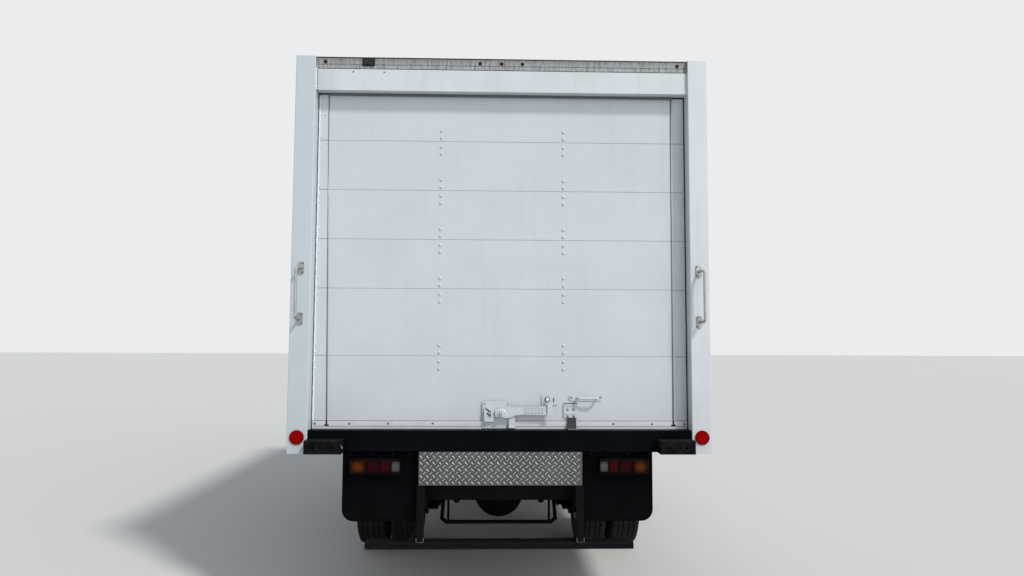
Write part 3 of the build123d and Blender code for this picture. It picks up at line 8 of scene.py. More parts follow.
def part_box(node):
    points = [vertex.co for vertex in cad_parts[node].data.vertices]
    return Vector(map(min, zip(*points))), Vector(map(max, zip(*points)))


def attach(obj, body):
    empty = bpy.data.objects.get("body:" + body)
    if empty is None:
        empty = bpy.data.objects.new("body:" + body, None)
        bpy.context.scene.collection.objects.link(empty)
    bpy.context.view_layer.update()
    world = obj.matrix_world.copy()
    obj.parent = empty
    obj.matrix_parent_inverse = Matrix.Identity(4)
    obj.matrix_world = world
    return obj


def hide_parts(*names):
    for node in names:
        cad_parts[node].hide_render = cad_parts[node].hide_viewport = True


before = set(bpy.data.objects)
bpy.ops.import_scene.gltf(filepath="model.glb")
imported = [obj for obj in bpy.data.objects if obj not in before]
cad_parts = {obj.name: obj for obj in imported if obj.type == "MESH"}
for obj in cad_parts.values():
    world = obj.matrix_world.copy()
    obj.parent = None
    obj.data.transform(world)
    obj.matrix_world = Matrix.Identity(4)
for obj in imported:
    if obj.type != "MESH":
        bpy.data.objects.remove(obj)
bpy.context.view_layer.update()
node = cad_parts
scene = bpy.context.scene
scene.view_settings.view_transform = "Standard"

# Standing place: the camera behind the truck, a pale floor with a pale backdrop, and soft light.
# The camera looks slightly up at the rear face from 4.1 metres away.
rear_y = -2.995
camera_data = bpy.data.cameras.new("rear_view")
camera_data.sensor_width = 36
camera_data.lens = 24.785
camera_data.clip_start = 0.05
camera_data.clip_end = 200
camera = bpy.data.objects.new("rear_view", camera_data)
scene.collection.objects.link(camera)
pitch, yaw, roll = math.radians(3.998), math.radians(1.417), math.radians(0.252)
ahead = Vector((math.sin(yaw) * math.cos(pitch), math.cos(yaw) * math.cos(pitch), math.sin(pitch)))
level_right = Vector((math.cos(yaw), -math.sin(yaw), 0))
level_up = level_right.cross(ahead)
right = math.cos(roll) * level_right + math.sin(roll) * level_up
up = math.cos(roll) * level_up - math.sin(roll) * level_right
turn = Matrix((right, up, -ahead)).transposed().to_4x4()
camera.matrix_world = Matrix.Translation((-0.041, -7.081, 1.6)) @ turn
scene.camera = camera

# columns: name, strength, width in degrees, colour, direction from which it comes
light_table = [
    ("key_light", 2.5, 7, (1.0, 0.985, 0.96), (0.466, -0.466, 0.751)),
    ("side_light", 0.82, 50, (1.0, 1.0, 1.0), (0.63, -0.72, 0.29)),
]
for name, strength, width, colour, source in light_table:
    light = bpy.data.lights.new(name, "SUN")
    light.energy, light.angle, light.color = strength, math.radians(width), colour
    light_stand = bpy.data.objects.new(name, light)
    light_stand.rotation_mode = "QUATERNION"
    light_stand.rotation_quaternion = Vector(source).to_track_quat("Z", "Y")
    scene.collection.objects.link(light_stand)


def add_node(tree, kind, links=(), **values):
    """A node with its own values, and its sockets set or joined by (socket, value or source socket) pairs."""
    made = tree.nodes.new(kind)
    for key, value in values.items():
        setattr(made, key, value)
    for socket, source in links:
        if hasattr(source, "is_output"):
            tree.links.new(source, made.inputs[socket])
        else:
            made.inputs[socket].default_value = source
    return made


def maths(tree, operation, a, b=0.0, clamp=False):
    """The result socket of one Math node."""
    return add_node(tree, "ShaderNodeMath", [(0, a), (1, b)], operation=operation, use_clamp=clamp).outputs[0]


def blank(name):
    """A new material, its tree and its shader's sockets."""
    finish = bpy.data.materials.new(name)
    finish.use_nodes = True
    return finish, finish.node_tree, finish.node_tree.nodes["Principled BSDF"].inputs


sky_world = bpy.data.worlds.new("soft_room")
scene.world = sky_world
sky_world.use_nodes = True
sky = sky_world.node_tree
sky.nodes.clear()
sky_light = add_node(sky, "ShaderNodeBackground", [("Color", (0.86, 0.92, 1.0, 1)), ("Strength", 0.5)])
sky_shown = add_node(sky, "ShaderNodeBackground", [("Color", (0.83, 0.84, 0.85, 1)), ("Strength", 1.0)])
sky_path = add_node(sky, "ShaderNodeLightPath").outputs
sky_seen = sky_path["Is Camera Ray"]
for ray in ("Is Glossy Ray", "Is Transmission Ray"):
    sky_seen = maths(sky, "MAXIMUM", sky_seen, sky_path[ray])
sky_links = [(0, sky_seen), (1, sky_light.outputs["Background"]), (2, sky_shown.outputs["Background"])]
sky_mix = add_node(sky, "ShaderNodeMixShader", sky_links)
add_node(sky, "ShaderNodeOutputWorld", [("Surface", sky_mix.outputs["Shader"])])

floor_mesh = bpy.data.meshes.new("floor")
floor_mesh.from_pydata([(-60, -60, 0), (60, -60, 0), (60, 60, 0), (-60, 60, 0)], [], [(0, 1, 2, 3)])
floor = bpy.data.objects.new("floor", floor_mesh)
scene.collection.objects.link(floor)
floor_finish, _, floor_shader = blank("pale_floor")
floor_shader["Base Color"].default_value = (0.56, 0.56, 0.55, 1)
floor_shader["Roughness"].default_value = 0.85
floor_mesh.materials.append(floor_finish)


# Frame rails, axles, sub-frame and guard: pressed and welded steel under satin black chassis paint.
# The paint has faded to grey in patches, and dust and road film lie thicker towards the ground.
def group_tree(name, kind, inputs, outputs):
    """A node group with inputs (label, kind, value) and outputs (label, kind): the tree and both sets of sockets."""
    tree = bpy.data.node_groups.new(name, kind)
    for label, socket, value in inputs:
        made = tree.interface.new_socket(label, in_out="INPUT", socket_type="NodeSocket" + socket)
        if value is not None:
            made.default_value = value
    for label, socket in outputs:
        tree.interface.new_socket(label, in_out="OUTPUT", socket_type="NodeSocket" + socket)
    return tree, tree.nodes.new("NodeGroupInput").outputs, tree.nodes.new("NodeGroupOutput").inputs


def noise(tree, vector, scale, detail=4.0, roughness=0.55):
    """The value socket of one Noise Texture."""
    links = [("Vector", vector), ("Scale", scale), ("Detail", detail), ("Roughness", roughness)]
    return add_node(tree, "ShaderNodeTexNoise", links).outputs["Fac"]


def between(tree, value, low, high, to_low=0.0, to_high=1.0):
    """A value spread from one range to another and held there."""
    links = [("Value", value), ("From Min", low), ("From Max", high), ("To Min", to_low), ("To Max", to_high)]
    return add_node(tree, "ShaderNodeMapRange", links, clamp=True).outputs["Result"]


def mixed(tree, factor, first, second):
    """The colour socket of one Mix node."""
    return add_node(tree, "ShaderNodeMix", [(0, factor), (6, first), (7, second)], data_type="RGBA").outputs[2]


def object_place(tree):
    """The object coordinates."""
    return add_node(tree, "ShaderNodeTexCoord").outputs["Object"]


def split(tree, vector):
    """The X, Y and Z sockets of a vector."""
    return add_node(tree, "ShaderNodeSeparateXYZ", [(0, vector)]).outputs


def stretched(tree, vector, scale):
    """Coordinates scaled along each axis."""
    return add_node(tree, "ShaderNodeMapping", [("Vector", vector), ("Scale", scale)]).outputs[0]


def embossed(tree, shader, height, depth):
    """Drives the shader's normal with a height and its depth in metres."""
    bump = add_node(tree, "ShaderNodeBump", [("Height", height), ("Distance", depth), ("Strength", 1.0)])
    tree.links.new(bump.outputs["Normal"], shader["Normal"])


coat, given, made = group_tree(
    "weathered coat",
    "ShaderNodeTree",
    [
        ("Colour", "Color", (0.5, 0.5, 0.5, 1)),
        ("Patch Colour", "Color", (0.4, 0.4, 0.4, 1)),
        ("Patches", "Float", 0.3),
        ("Patch Size", "Float", 0.3),
        ("Dirt Colour", "Color", (0.12, 0.10, 0.08, 1)),
        ("Dirt", "Float", 0.5),
        ("Dirt Foot", "Float", 0.3),
        ("Dirt Head", "Float", 1.2),
        ("Streaks", "Float", 0.0),
        ("Specks", "Float", 0.1),
        ("Worn Colour", "Color", (0.3, 0.3, 0.3, 1)),
        ("Worn", "Float", 0.0),
        ("Worn Foot", "Float", 0.0),
        ("Worn Head", "Float", 0.0),
        ("Rough", "Float", 0.4),
        ("Grain", "Float", 0.01),
    ],
    [("Colour", "Color"), ("Roughness", "Float"), ("Height", "Float")],
)
coat_place = object_place(coat)
patch_noise = noise(coat, coat_place, maths(coat, "DIVIDE", 1.0, given["Patch Size"]), 6.0, 0.6)
patch_mask = maths(coat, "MULTIPLY", between(coat, patch_noise, 0.40, 0.66), given["Patches"])
patched = mixed(coat, patch_mask, given["Colour"], given["Patch Colour"])
coat_height = split(coat, coat_place)["Z"]
coat_fall = between(coat, coat_height, given["Dirt Foot"], given["Dirt Head"], 1.0, 0.0)
dirt_noise = maths(coat, "MULTIPLY", noise(coat, coat_place, 7.0, 8.0, 0.65), 1.2)
dirt_edge = maths(coat, "ADD", maths(coat, "MULTIPLY", coat_fall, 1.1), dirt_noise)
dirt_mask = maths(coat, "MULTIPLY", between(coat, dirt_edge, 0.62, 1.75), given["Dirt"])
streak_noise = noise(coat, stretched(coat, coat_place, (22.0, 22.0, 0.9)), 1.0, 4.0, 0.6)
streak_mask = maths(coat, "MULTIPLY", between(coat, streak_noise, 0.54, 0.78), given["Streaks"])
speck_noise = noise(coat, coat_place, 190.0, 2.0, 0.5)
speck_mask = maths(coat, "MULTIPLY", between(coat, speck_noise, 0.66, 0.74), given["Specks"])
all_dirt = maths(coat, "MAXIMUM", maths(coat, "MAXIMUM", dirt_mask, streak_mask), speck_mask, True)
worn_from = maths(coat, "GREATER_THAN", coat_height, given["Worn Foot"])
worn_band = maths(coat, "MULTIPLY", worn_from, maths(coat, "LESS_THAN", coat_height, given["Worn Head"]))
worn_spots = between(coat, noise(coat, coat_place, 60.0, 5.0, 0.7), 0.38, 0.62)
worn_mask = maths(coat, "MULTIPLY", maths(coat, "MULTIPLY", worn_band, worn_spots), given["Worn"])
worn_paint = mixed(coat, worn_mask, patched, given["Worn Colour"])
coat.links.new(mixed(coat, all_dirt, worn_paint, given["Dirt Colour"]), made["Colour"])
rough_noise = maths(coat, "MULTIPLY", maths(coat, "SUBTRACT", patch_noise, 0.5), 0.25)
rough_clean = maths(coat, "ADD", given["Rough"], rough_noise)
rough_dirty = maths(coat, "ADD", rough_clean, maths(coat, "MULTIPLY", all_dirt, 0.35))
coat.links.new(maths(coat, "MAXIMUM", rough_dirty, 0.08, True), made["Roughness"])
grain_noise = noise(coat, coat_place, maths(coat, "DIVIDE", 1.0, given["Grain"]), 3.0, 0.5)
coat.links.new(maths(coat, "ADD", grain_noise, maths(coat, "MULTIPLY", all_dirt, 0.3)), made["Height"])


def coated(name, bump, colour, patches, dirt=(), worn=(), metallic=0.0, coat_weight=0.0, shine=0.5, **values):
    """A material of the weathered coat, with the depth of its bump and the size of its grain in metres.

    patches is a colour, a share and a size; dirt and worn are a colour, a share and the heights they lie between.
    """
    finish, tree, shader = blank(name)
    group = add_node(tree, "ShaderNodeGroup", node_tree=coat)
    settings = {"Colour": colour, **{label.title(): value for label, value in values.items()}}
    settings.update(zip(("Patch Colour", "Patches", "Patch Size"), patches))
    settings.update(zip(("Dirt Colour", "Dirt", "Dirt Foot", "Dirt Head"), dirt))
    settings.update(zip(("Worn Colour", "Worn", "Worn Foot", "Worn Head"), worn))
    for label, value in settings.items():
        group.inputs[label].default_value = (*value, 1) if isinstance(value, tuple) else value
    tree.links.new(group.outputs["Colour"], shader["Base Color"])
    tree.links.new(group.outputs["Roughness"], shader["Roughness"])
    embossed(tree, shader, group.outputs["Height"], bump)
    shader["Metallic"].default_value = metallic
    shader["Coat Weight"].default_value = coat_weight
    shader["Specular IOR Level"].default_value = shine
    return finish


def dress(finish, *names):
    """Gives CAD nodes their finish."""
    for name in names:
        node[name].data.materials.clear()
        node[name].data.materials.append(finish)


chassis_black = coated(
    "chassis_black", 0.0004, (0.0022, 0.0027, 0.0035), ((0.006, 0.0062, 0.007), 0.6, 0.12),
    dirt=((0.018, 0.0165, 0.015), 0.16, 0.2, 0.95), specks=0.15, rough=0.5, grain=0.004, shine=0.05,
)
dress(
    chassis_black,
    "frame_rails",
    "subframe",
    "front_axle",
    "rear_axle",
    "leaf_springs",
    "knuckle_right",
    "knuckle_left",
    "tie_rod",
    "underride_guard",
    "cab_steps",
    "battery_box",
    "drive_shaft",
)

# Spring bolts and frame bolts: zinc-plated nuts on the U-bolts, browned where the plating has gone.
# The helpers here also make every other rivet, block and rod of the truck.
def scattered(tree, given, made, shape, turn, size):
    """Ends a geometry tree: its shape on every point, turned and sized, made real and given its finish."""
    links = [("Points", given["Places"]), ("Instance", shape), ("Rotation", turn), ("Scale", size)]
    placed = add_node(tree, "GeometryNodeInstanceOnPoints", links)
    real = add_node(tree, "GeometryNodeRealizeInstances", [("Geometry", placed.outputs["Instances"])])
    links = [("Geometry", real.outputs["Geometry"]), ("Material", given["Finish"])]
    tree.links.new(add_node(tree, "GeometryNodeSetMaterial", links).outputs["Geometry"], made["Geometry"])


fastener_tree, given, made = group_tree(
    "fasteners on points",
    "GeometryNodeTree",
    [
        ("Places", "Geometry", None),
        ("Head Radius", "Float", 0.008),
        ("Head Height", "Float", 0.004),
        ("Sides", "Int", 10),
        ("Domed", "Bool", True),
        ("Facing", "Vector", (0, 0, 1)),
        ("Finish", "Material", None),
    ],
    [("Geometry", "Geometry")],
)
dome_shape = [("Segments", given["Sides"]), ("Rings", 6), ("Radius", 1.0)]
dome = add_node(fastener_tree, "GeometryNodeMeshUVSphere", dome_shape)
stub_shape = [("Vertices", given["Sides"]), ("Radius Top", 0.86), ("Radius Bottom", 1.0), ("Depth", 1.0)]
stub = add_node(fastener_tree, "GeometryNodeMeshCone", stub_shape)
choice = [("Switch", given["Domed"]), ("False", stub.outputs["Mesh"]), ("True", dome.outputs["Mesh"])]
chosen = add_node(fastener_tree, "GeometryNodeSwitch", choice, input_type="GEOMETRY").outputs["Output"]
head_axes = [("X", given["Head Radius"]), ("Y", given["Head Radius"]), ("Z", given["Head Height"])]
head_size = add_node(fastener_tree, "ShaderNodeCombineXYZ", head_axes).outputs["Vector"]
head_turn = add_node(fastener_tree, "FunctionNodeAlignEulerToVector", [("Vector", given["Facing"])], axis="Z")
scattered(fastener_tree, given, made, chosen, head_turn.outputs["Rotation"], head_size)


def settled(piece):
    """A piece's shape with its modifiers made real and none left."""
    shown = bpy.data.meshes.new_from_object(piece.evaluated_get(bpy.context.evaluated_depsgraph_get()))
    piece.modifiers.clear()
    piece.data = shown
    return shown


def carried(piece, body, smooth):
    """Shades a piece flat or smooth and sets it on its body."""
    for face in piece.data.polygons:
        face.use_smooth = smooth
    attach(piece, body)
    return piece


def grown(name, tree, mesh, values, smooth, body):
    """A piece grown by a geometry tree from a mesh of places."""
    piece = bpy.data.objects.new(name, mesh)
    scene.collection.objects.link(piece)
    modifier = piece.modifiers.new(name, "NODES")
    modifier.node_group = tree
    for item in tree.interface.items_tree:
        if item.item_type == "SOCKET" and item.in_out == "INPUT" and item.name in values:
            modifier[item.identifier] = values[item.name]
    settled(piece)
    return carried(piece, body, smooth)


def fasteners(
    name, finish, radius, height, places, sides=10, domed=True, facing=(0, -1, 0), body="chassis"
):
    """Rivet, screw or bolt heads at places on one body, all facing one way."""
    mesh = bpy.data.meshes.new(name)
    mesh.from_pydata([Vector(p) for p in places], [], [])
    values = {"Head Radius": radius, "Head Height": height, "Sides": sides, "Domed": domed}
    values.update({"Facing": Vector(facing), "Finish": finish})
    return grown(name, fastener_tree, mesh, values, domed, body)


def finished(name, finish, build, body="chassis", smooth=False):
    """A bmesh turned into a piece that rides on one body."""
    bmesh.ops.recalc_face_normals(build, faces=build.faces[:])
    mesh = bpy.data.meshes.new(name)
    build.to_mesh(mesh)
    build.free()
    mesh.materials.append(finish)
    piece = bpy.data.objects.new(name, mesh)
    scene.collection.objects.link(piece)
    return carried(piece, body, smooth)


def blocks(name, finish, boxes, edge=0.002, body="chassis"):
    """Blocks with eased edges: each a low corner, a high corner and its lean about the y axis in degrees."""
    build = bmesh.new()
    for low, high, *lean in boxes:
        middle = [(a + b) / 2 for a, b in zip(low, high)]
        size = [abs(b - a) for a, b in zip(low, high)]
        tilt = Matrix.Rotation(math.radians(lean[0] if lean else 0), 4, "Y")
        bmesh.ops.create_cube(build, size=1, matrix=Matrix.Translation(middle) @ tilt @ Matrix.Diagonal((*size, 1)))
    bmesh.ops.bevel(build, geom=build.edges[:], offset=edge, segments=2, affect="EDGES", profile=0.5)
    return finished(name, finish, build, body)


def skinned(build, rings, closed=False):
    """Faces from ring to ring of points, with caps on both ends or the last ring joined to the first."""
    for low, high in list(zip(rings, rings[1:])) + ([(rings[-1], rings[0])] if closed else []):
        for j in range(len(low)):
            k = (j + 1) % len(low)
            build.faces.new((low[j], low[k], high[k], high[j]))
    if not closed:
        build.faces.new(rings[0][::-1])
        build.faces.new(rings[-1])


def tube(name, finish, paths, radius, body="chassis", closed=False, sides=8, spread=(1.0,)):
    """Round rods, hoses or beads along lists of points; spread gives each point its share of the radius."""
    build = bmesh.new()
    for path in paths:
        points = [Vector(p) for p in path]
        count = len(points)
        rings = []
        guide = None
        for k, point in enumerate(points):
            back = points[(k - 1) % count] if closed or k else point
            front = points[(k + 1) % count] if closed or k < count - 1 else point
            along = (front - back).normalized()
            if guide is None:
                guide = Vector((0, 0, 1)) if abs(along.z) < 0.9 else Vector((1, 0, 0))
            first = along.cross(guide).normalized()
            guide = first.cross(along).normalized()
            size = radius * spread[k % len(spread)]
            turns = [2 * math.pi * j / sides for j in range(sides)]
            rings.append([build.verts.new(point + size * (math.cos(t) * first + math.sin(t) * guide)) for t in turns])
        skinned(build, rings, closed)
    return finished(name, finish, build, body, smooth=True)


both_sides = ((-1, "left"), (1, "right"))
front_axle_y, rear_axle_y, axle_z = 1.970, -1.395, 0.386
# columns: distance from the middle, axle, half the gap between U-bolts, heights of their upper and lower nuts
spring_bolts = [
    (0.395, front_axle_y, 0.050, 0.4633, None),
    (0.500, rear_axle_y, 0.080, 0.5473, 0.300),
]
top_nuts, foot_nuts = [], []
for middle, axle_y, reach, plate_z, foot_z in spring_bolts:
    for side in (-1, 1):
        for off in (-0.044, 0.044):
            for end in (-1, 1):
                top_nuts.append((side * middle + off, axle_y + end * reach, plate_z))
                if foot_z:
                    foot_nuts.append((side * middle + off, axle_y + end * reach, foot_z))
zinc_nut = coated(
    "zinc_nut", 0.0002, (0.38, 0.37, 0.34), ((0.16, 0.09, 0.05), 0.7, 0.012), dirt=((0.12, 0.10, 0.08), 0.2),
    rough=0.4, grain=0.002, metallic=0.7,
)
fasteners("spring_nuts_top", zinc_nut, 0.0135, 0.014, top_nuts, 6, domed=False, facing=(0, 0, 1))
fasteners(
    "spring_nuts_foot", zinc_nut, 0.0135, 0.014, foot_nuts, 6, domed=False, facing=(0, 0, -1),
)
for side, word in both_sides:
    eyes = [(side * (0.500 + 0.035), rear_axle_y + end * 0.640, 0.545) for end in (-1, 1)]
    fasteners(
        f"spring_eye_nuts_{word}", zinc_nut, 0.019, 0.020, eyes, 6, domed=False, facing=(side, 0, 0),
    )

# Frame bolts: flanged steel heads painted with the frame.
# They pass through the rail's web in two rows at each crossmember.
cross_ys = [-2.933 + place * 5.803 for place in (0.01, 0.2, 0.36, 0.52, 0.64, 0.97)]
for side, word in both_sides:
    heads = [(side * 0.430, y + dy, z) for y in cross_ys for dy in (0.0, 0.045) for z in (0.665, 0.715, 0.765)]
    fasteners(
        f"rail_bolts_{word}", chassis_black, 0.010, 0.008, heads, 6, domed=False, facing=(side, 0, 0),
    )

# Brake pipes: thin plated steel lines along the back of the rear axle.
# They run from each wheel to the bowl of the differential and rise there.
pipe_y, pipe_z = rear_axle_y - 0.066, axle_z + 0.032
pipe_ends = [(-0.440, pipe_y, pipe_z), (-0.215, pipe_y, pipe_z), (-0.190, pipe_y - 0.012, pipe_z + 0.03)]
tube("brake_pipe", zinc_nut, [pipe_ends, [(-x, y, z) for x, y, z in pipe_ends]], 0.004)

# Engine and gearbox: cast iron and cast aluminium, left rough, dusty and oily.
# One plain block stands for both, bolted between the rails under the cab.
engine_iron = coated(
    "engine_iron", 0.0012, (0.10, 0.10, 0.105), ((0.04, 0.038, 0.036), 0.8, 0.09),
    dirt=((0.09, 0.075, 0.06), 0.6, 0.4, 1.3), specks=0.3, rough=0.55, grain=0.003, metallic=0.3,
)
dress(engine_iron, "engine_block")

# Fuel tank: rolled and welded sheet aluminium, hung beside a frame rail.
# Salt and dust have dulled it near its foot.
tank_aluminium = coated(
    "tank_aluminium", 0.0002, (0.62, 0.63, 0.65), ((0.45, 0.46, 0.47), 0.5, 0.06),
    dirt=((0.22, 0.20, 0.17), 0.5, 0.35, 0.9), specks=0.15, rough=0.3, grain=0.002, metallic=0.9,
)
dress(tank_aluminium, "fuel_tank")

# Exhaust: a bare steel canister with its pipe, hung below the frame.
# Heat and rust have browned it.
exhaust_brown = coated(
    "exhaust_brown", 0.0008, (0.22, 0.17, 0.13), ((0.16, 0.06, 0.025), 0.9, 0.07),
    dirt=((0.10, 0.08, 0.06), 0.4, 0.3, 1.0), specks=0.3, rough=0.5, grain=0.003, metallic=0.5,
)
dress(exhaust_brown, "exhaust")

# Cargo floor: laminated hardwood boards laid along the body and screwed to the cross sills.
# The boards are worn grey, and their joints are dark.
floor_boards, wood, wood_shader = blank("floor_boards")
wood_place = object_place(wood)
board_width = 0.305
wood_grain = noise(wood, stretched(wood, wood_place, (60.0, 2.2, 60.0)), 1.0, 6.0, 0.6)
boards_across = maths(wood, "DIVIDE", maths(wood, "ADD", split(wood, wood_place)["X"], 10.0), board_width)
from_middle = maths(wood, "ABSOLUTE", maths(wood, "SUBTRACT", maths(wood, "FRACT", boards_across), 0.5))
board_joint = between(wood, from_middle, 0.488, 0.497)
board_tone = mixed(wood, between(wood, wood_grain, 0.3, 0.7), (0.30, 0.18, 0.09, 1), (0.16, 0.09, 0.045, 1))
board_wear = between(wood, noise(wood, wood_place, 3.0, 6.0), 0.45, 0.7, 0.0, 0.6)
board_worn = mixed(wood, board_wear, board_tone, (0.20, 0.18, 0.16, 1))
wood.links.new(mixed(wood, board_joint, board_worn, (0.02, 0.015, 0.01, 1)), wood_shader["Base Color"])
embossed(wood, wood_shader, maths(wood, "SUBTRACT", maths(wood, "MULTIPLY", wood_grain, 0.4), board_joint), 0.0015)
wood_shader["Roughness"].default_value = 0.65
dress(floor_boards, "cargo_floor")

# Cargo body: white painted aluminium sheets riveted to inner posts, with rounded front corners.
# Rows of button-head rivets follow the posts, the top and foot rails and the roof bows.
body_white = coated(
    "body_white", 0.00012, (0.60, 0.635, 0.66), ((0.57, 0.60, 0.62), 0.6, 0.55),
    dirt=((0.30, 0.29, 0.27), 0.22, 0.9, 1.9), streaks=0.07, specks=0.06, rough=0.34, grain=0.006, coat_weight=0.25,
)
dress(body_white, "side_walls", "front_wall", "roof")
wall_low, wall_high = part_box("side_walls")
skin_x, rail_face_x = 1.212, 1.219
post_pitch, rivet_pitch = 0.406, 0.102
rivet_radius, rivet_rise = 0.0075, 0.0035
rivets_from, rivets_to, rail_rows = 1.12, 3.15, (0.955, 1.055, 3.2)
post_ys = [wall_low.y + 0.06 + post_pitch * k for k in range(int((wall_high.y - wall_low.y - 0.08) / post_pitch) + 1)]
for side, word in both_sides:
    places = []
    for y in post_ys:
        z = rivets_from
        while z < rivets_to:
            places.append((side * skin_x, y, z))
            z += rivet_pitch
    fasteners(f"post_rivets_{word}", body_white, rivet_radius, rivet_rise, places, 8, facing=(side, 0, 0))
    places = []
    y = wall_low.y + 0.03
    while y < wall_high.y - 0.02:
        places.extend([(side * rail_face_x, y, z) for z in rail_rows])
        y += rivet_pitch
    fasteners(f"rail_rivets_{word}", body_white, rivet_radius, rivet_rise, places, 8, facing=(side, 0, 0))
# Front wall rivets stand in five columns, and roof bow rivets near both edges.
front_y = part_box("front_wall")[1].y
front_zs = [1.06 + rivet_pitch * k for k in range(19)]
places = [(x, front_y, z) for x in (-1.04, -0.52, 0.0, 0.52, 1.04) for z in front_zs if z < 3.12]
fasteners("front_wall_rivets", body_white, rivet_radius, rivet_rise, places, 8, facing=(0, 1, 0))
roof_top, roof_fall, fall_from, fall_run = 3.269, 0.014, 0.700, 0.473
for side, word in both_sides:
    spots = [(x, roof_top - roof_fall * (x - fall_from) / fall_run) for x in (1.02, 1.09, 1.16)]
    places = [(side * x, y, z) for y in post_ys for x, z in spots]
    fasteners(f"roof_rivets_{word}", body_white, rivet_radius, 0.0030, places, 8, facing=(side * 0.03, 0, 1))

# Rear frame: steel posts, header and top rail, welded and painted white over grey primer.
# The top rail is bare grimy metal with dark holes, darker towards its top, with a band of painted shadow under the
# roof edge; a jagged bead of sealant closes the left joint.
frame_white = coated(
    "frame_white", 0.00025, (0.60, 0.635, 0.66), ((0.52, 0.555, 0.575), 0.6, 0.35),
    dirt=((0.26, 0.27, 0.27), 0.28, 0.9, 1.7), streaks=0.14, specks=0.10, rough=0.45, grain=0.004,
)
paint = frame_white.node_tree
paint_place = object_place(paint)
paint_axes = split(paint, paint_place)
paint_colour = paint.nodes["Principled BSDF"].inputs["Base Color"]
left_post = between(paint, paint_axes["X"], -0.95, -1.10, 0.0, 0.42)
duller = mixed(paint, left_post, paint_colour.links[0].from_socket, (0.34, 0.43, 0.48, 1))
rail_foot = between(paint, paint_axes["Z"], 3.1880, 3.1886)
rail_ends = maths(paint, "LESS_THAN", maths(paint, "ABSOLUTE", paint_axes["X"]), 1.104)
drips = between(paint, noise(paint, stretched(paint, paint_place, (70.0, 70.0, 9.0)), 1.0, 5.0, 0.7), 0.44, 0.66)
specks = between(paint, noise(paint, paint_place, 120.0, 4.0, 0.7), 0.56, 0.66)
soil = maths(paint, "MAXIMUM", maths(paint, "MULTIPLY", drips, 0.75), maths(paint, "MULTIPLY", specks, 0.8))
rail_rise = between(paint, paint_axes["Z"], 3.214, 3.259)
rail_metal = mixed(paint, rail_rise, (0.36, 0.37, 0.38, 1), (0.19, 0.19, 0.19, 1))
rail_grime = mixed(paint, soil, rail_metal, (0.060, 0.050, 0.042, 1))
# A near-black band just under the roof edge is painted shadow.
roof_edge_shadow = between(paint, paint_axes["Z"], 3.2480, 3.2560, 0.0, 0.9)
rail_shaded = mixed(paint, roof_edge_shadow, rail_grime, (0.010, 0.010, 0.011, 1))
paint.links.new(mixed(paint, maths(paint, "MULTIPLY", rail_foot, rail_ends), duller, rail_shaded), paint_colour)
dress(frame_white, "rear_frame")

header_y = rear_y + 0.017
rail_y = rear_y + 0.025
# This near-black colours real holes and slots, and also painted shade and shadow lines.
hole_and_shade_black = coated(
    "hole_and_shade_black", 0.0001, (0.004, 0.004, 0.004), ((0.010, 0.007, 0.005),), rough=0.7, grain=0.002, shine=0.05,
)
rust_ring = coated(
    "rust_ring", 0.0004, (0.16, 0.07, 0.035), ((0.26, 0.16, 0.10), 0.8, 0.012), rough=0.75, grain=0.001,
)
rail_holes = [(x, rail_y, 3.229) for x in (-1.052, -0.135, -0.007, 0.117, 1.047)]
fasteners("rail_hole_rings", rust_ring, 0.0128, 0.0012, rail_holes, 20, domed=False)
rail_holes = [(x, rail_y - 0.0003, z) for x, y, z in rail_holes]
fasteners("rail_holes", hole_and_shade_black, 0.0098, 0.0014, rail_holes, 20, domed=False)
pin_holes = [(x, header_y, 3.166) for x in (-0.886, -0.704)]
fasteners("header_pin_holes", hole_and_shade_black, 0.0045, 0.0010, pin_holes, 14, domed=False)
bracket_finish = coated("bracket_black", 0.0002, (0.012, 0.013, 0.014), ((0.03, 0.03, 0.03),), rough=0.4, shine=0.15)
recess_finish = coated(
    "recess_grey", 0.0003, (0.014, 0.017, 0.016), ((0.040, 0.046, 0.043), 0.8, 0.02), rough=0.6, grain=0.002,
    shine=0.1,
)
blocks("marker_bracket", bracket_finish, [((-0.834, rail_y - 0.007, 3.204), (-0.760, rail_y + 0.001, 3.254))], 0.0032)
blocks("marker_recess", recess_finish, [((-0.824, rail_y - 0.0085, 3.213), (-0.770, rail_y - 0.002, 3.246))], 0.0014)
# The upper dark line under the roof edge is painted shadow; the lower one is the dark joint between rail and header.
roof_shadow_and_joint_lines = [
    ((-1.175, rail_y - 0.0006, 3.2535), (1.175, rail_y + 0.001, 3.2565)),
    ((-1.103, header_y - 0.0006, 3.1835), (1.103, header_y + 0.001, 3.1868)),
]
blocks("frame_roof_shadow_and_joint_lines", hole_and_shade_black, roof_shadow_and_joint_lines, 0.0002)
bead_count = 34
bead_xs = [-1.103 + 0.0022 * math.sin(k * 2.3) + 0.0013 * math.sin(k * 5.1) for k in range(bead_count)]
bead = [(x, header_y - 0.0015, 3.055 + 0.004 * k) for k, x in enumerate(bead_xs)]
bead_size = [0.75 + 0.35 * math.sin(k * 1.9) for k in range(bead_count)]
joint_white = coated(
    "joint_white", 0.0006, (0.72, 0.76, 0.78), ((0.55, 0.58, 0.60), 0.5, 0.02), specks=0.2, rough=0.45, grain=0.003,
)
tube("joint_sealant", joint_white, [bead], 0.0068, spread=bead_size)
return_zs = [1.095 + 0.026 * k for k in range(76)]
return_bead = [(-1.0935 + 0.0008 * math.sin(k * 2.1), rear_y + 0.0815, z) for k, z in enumerate(return_zs)]
tube("return_sealant", joint_white, [return_bead], 0.0050, sides=6)
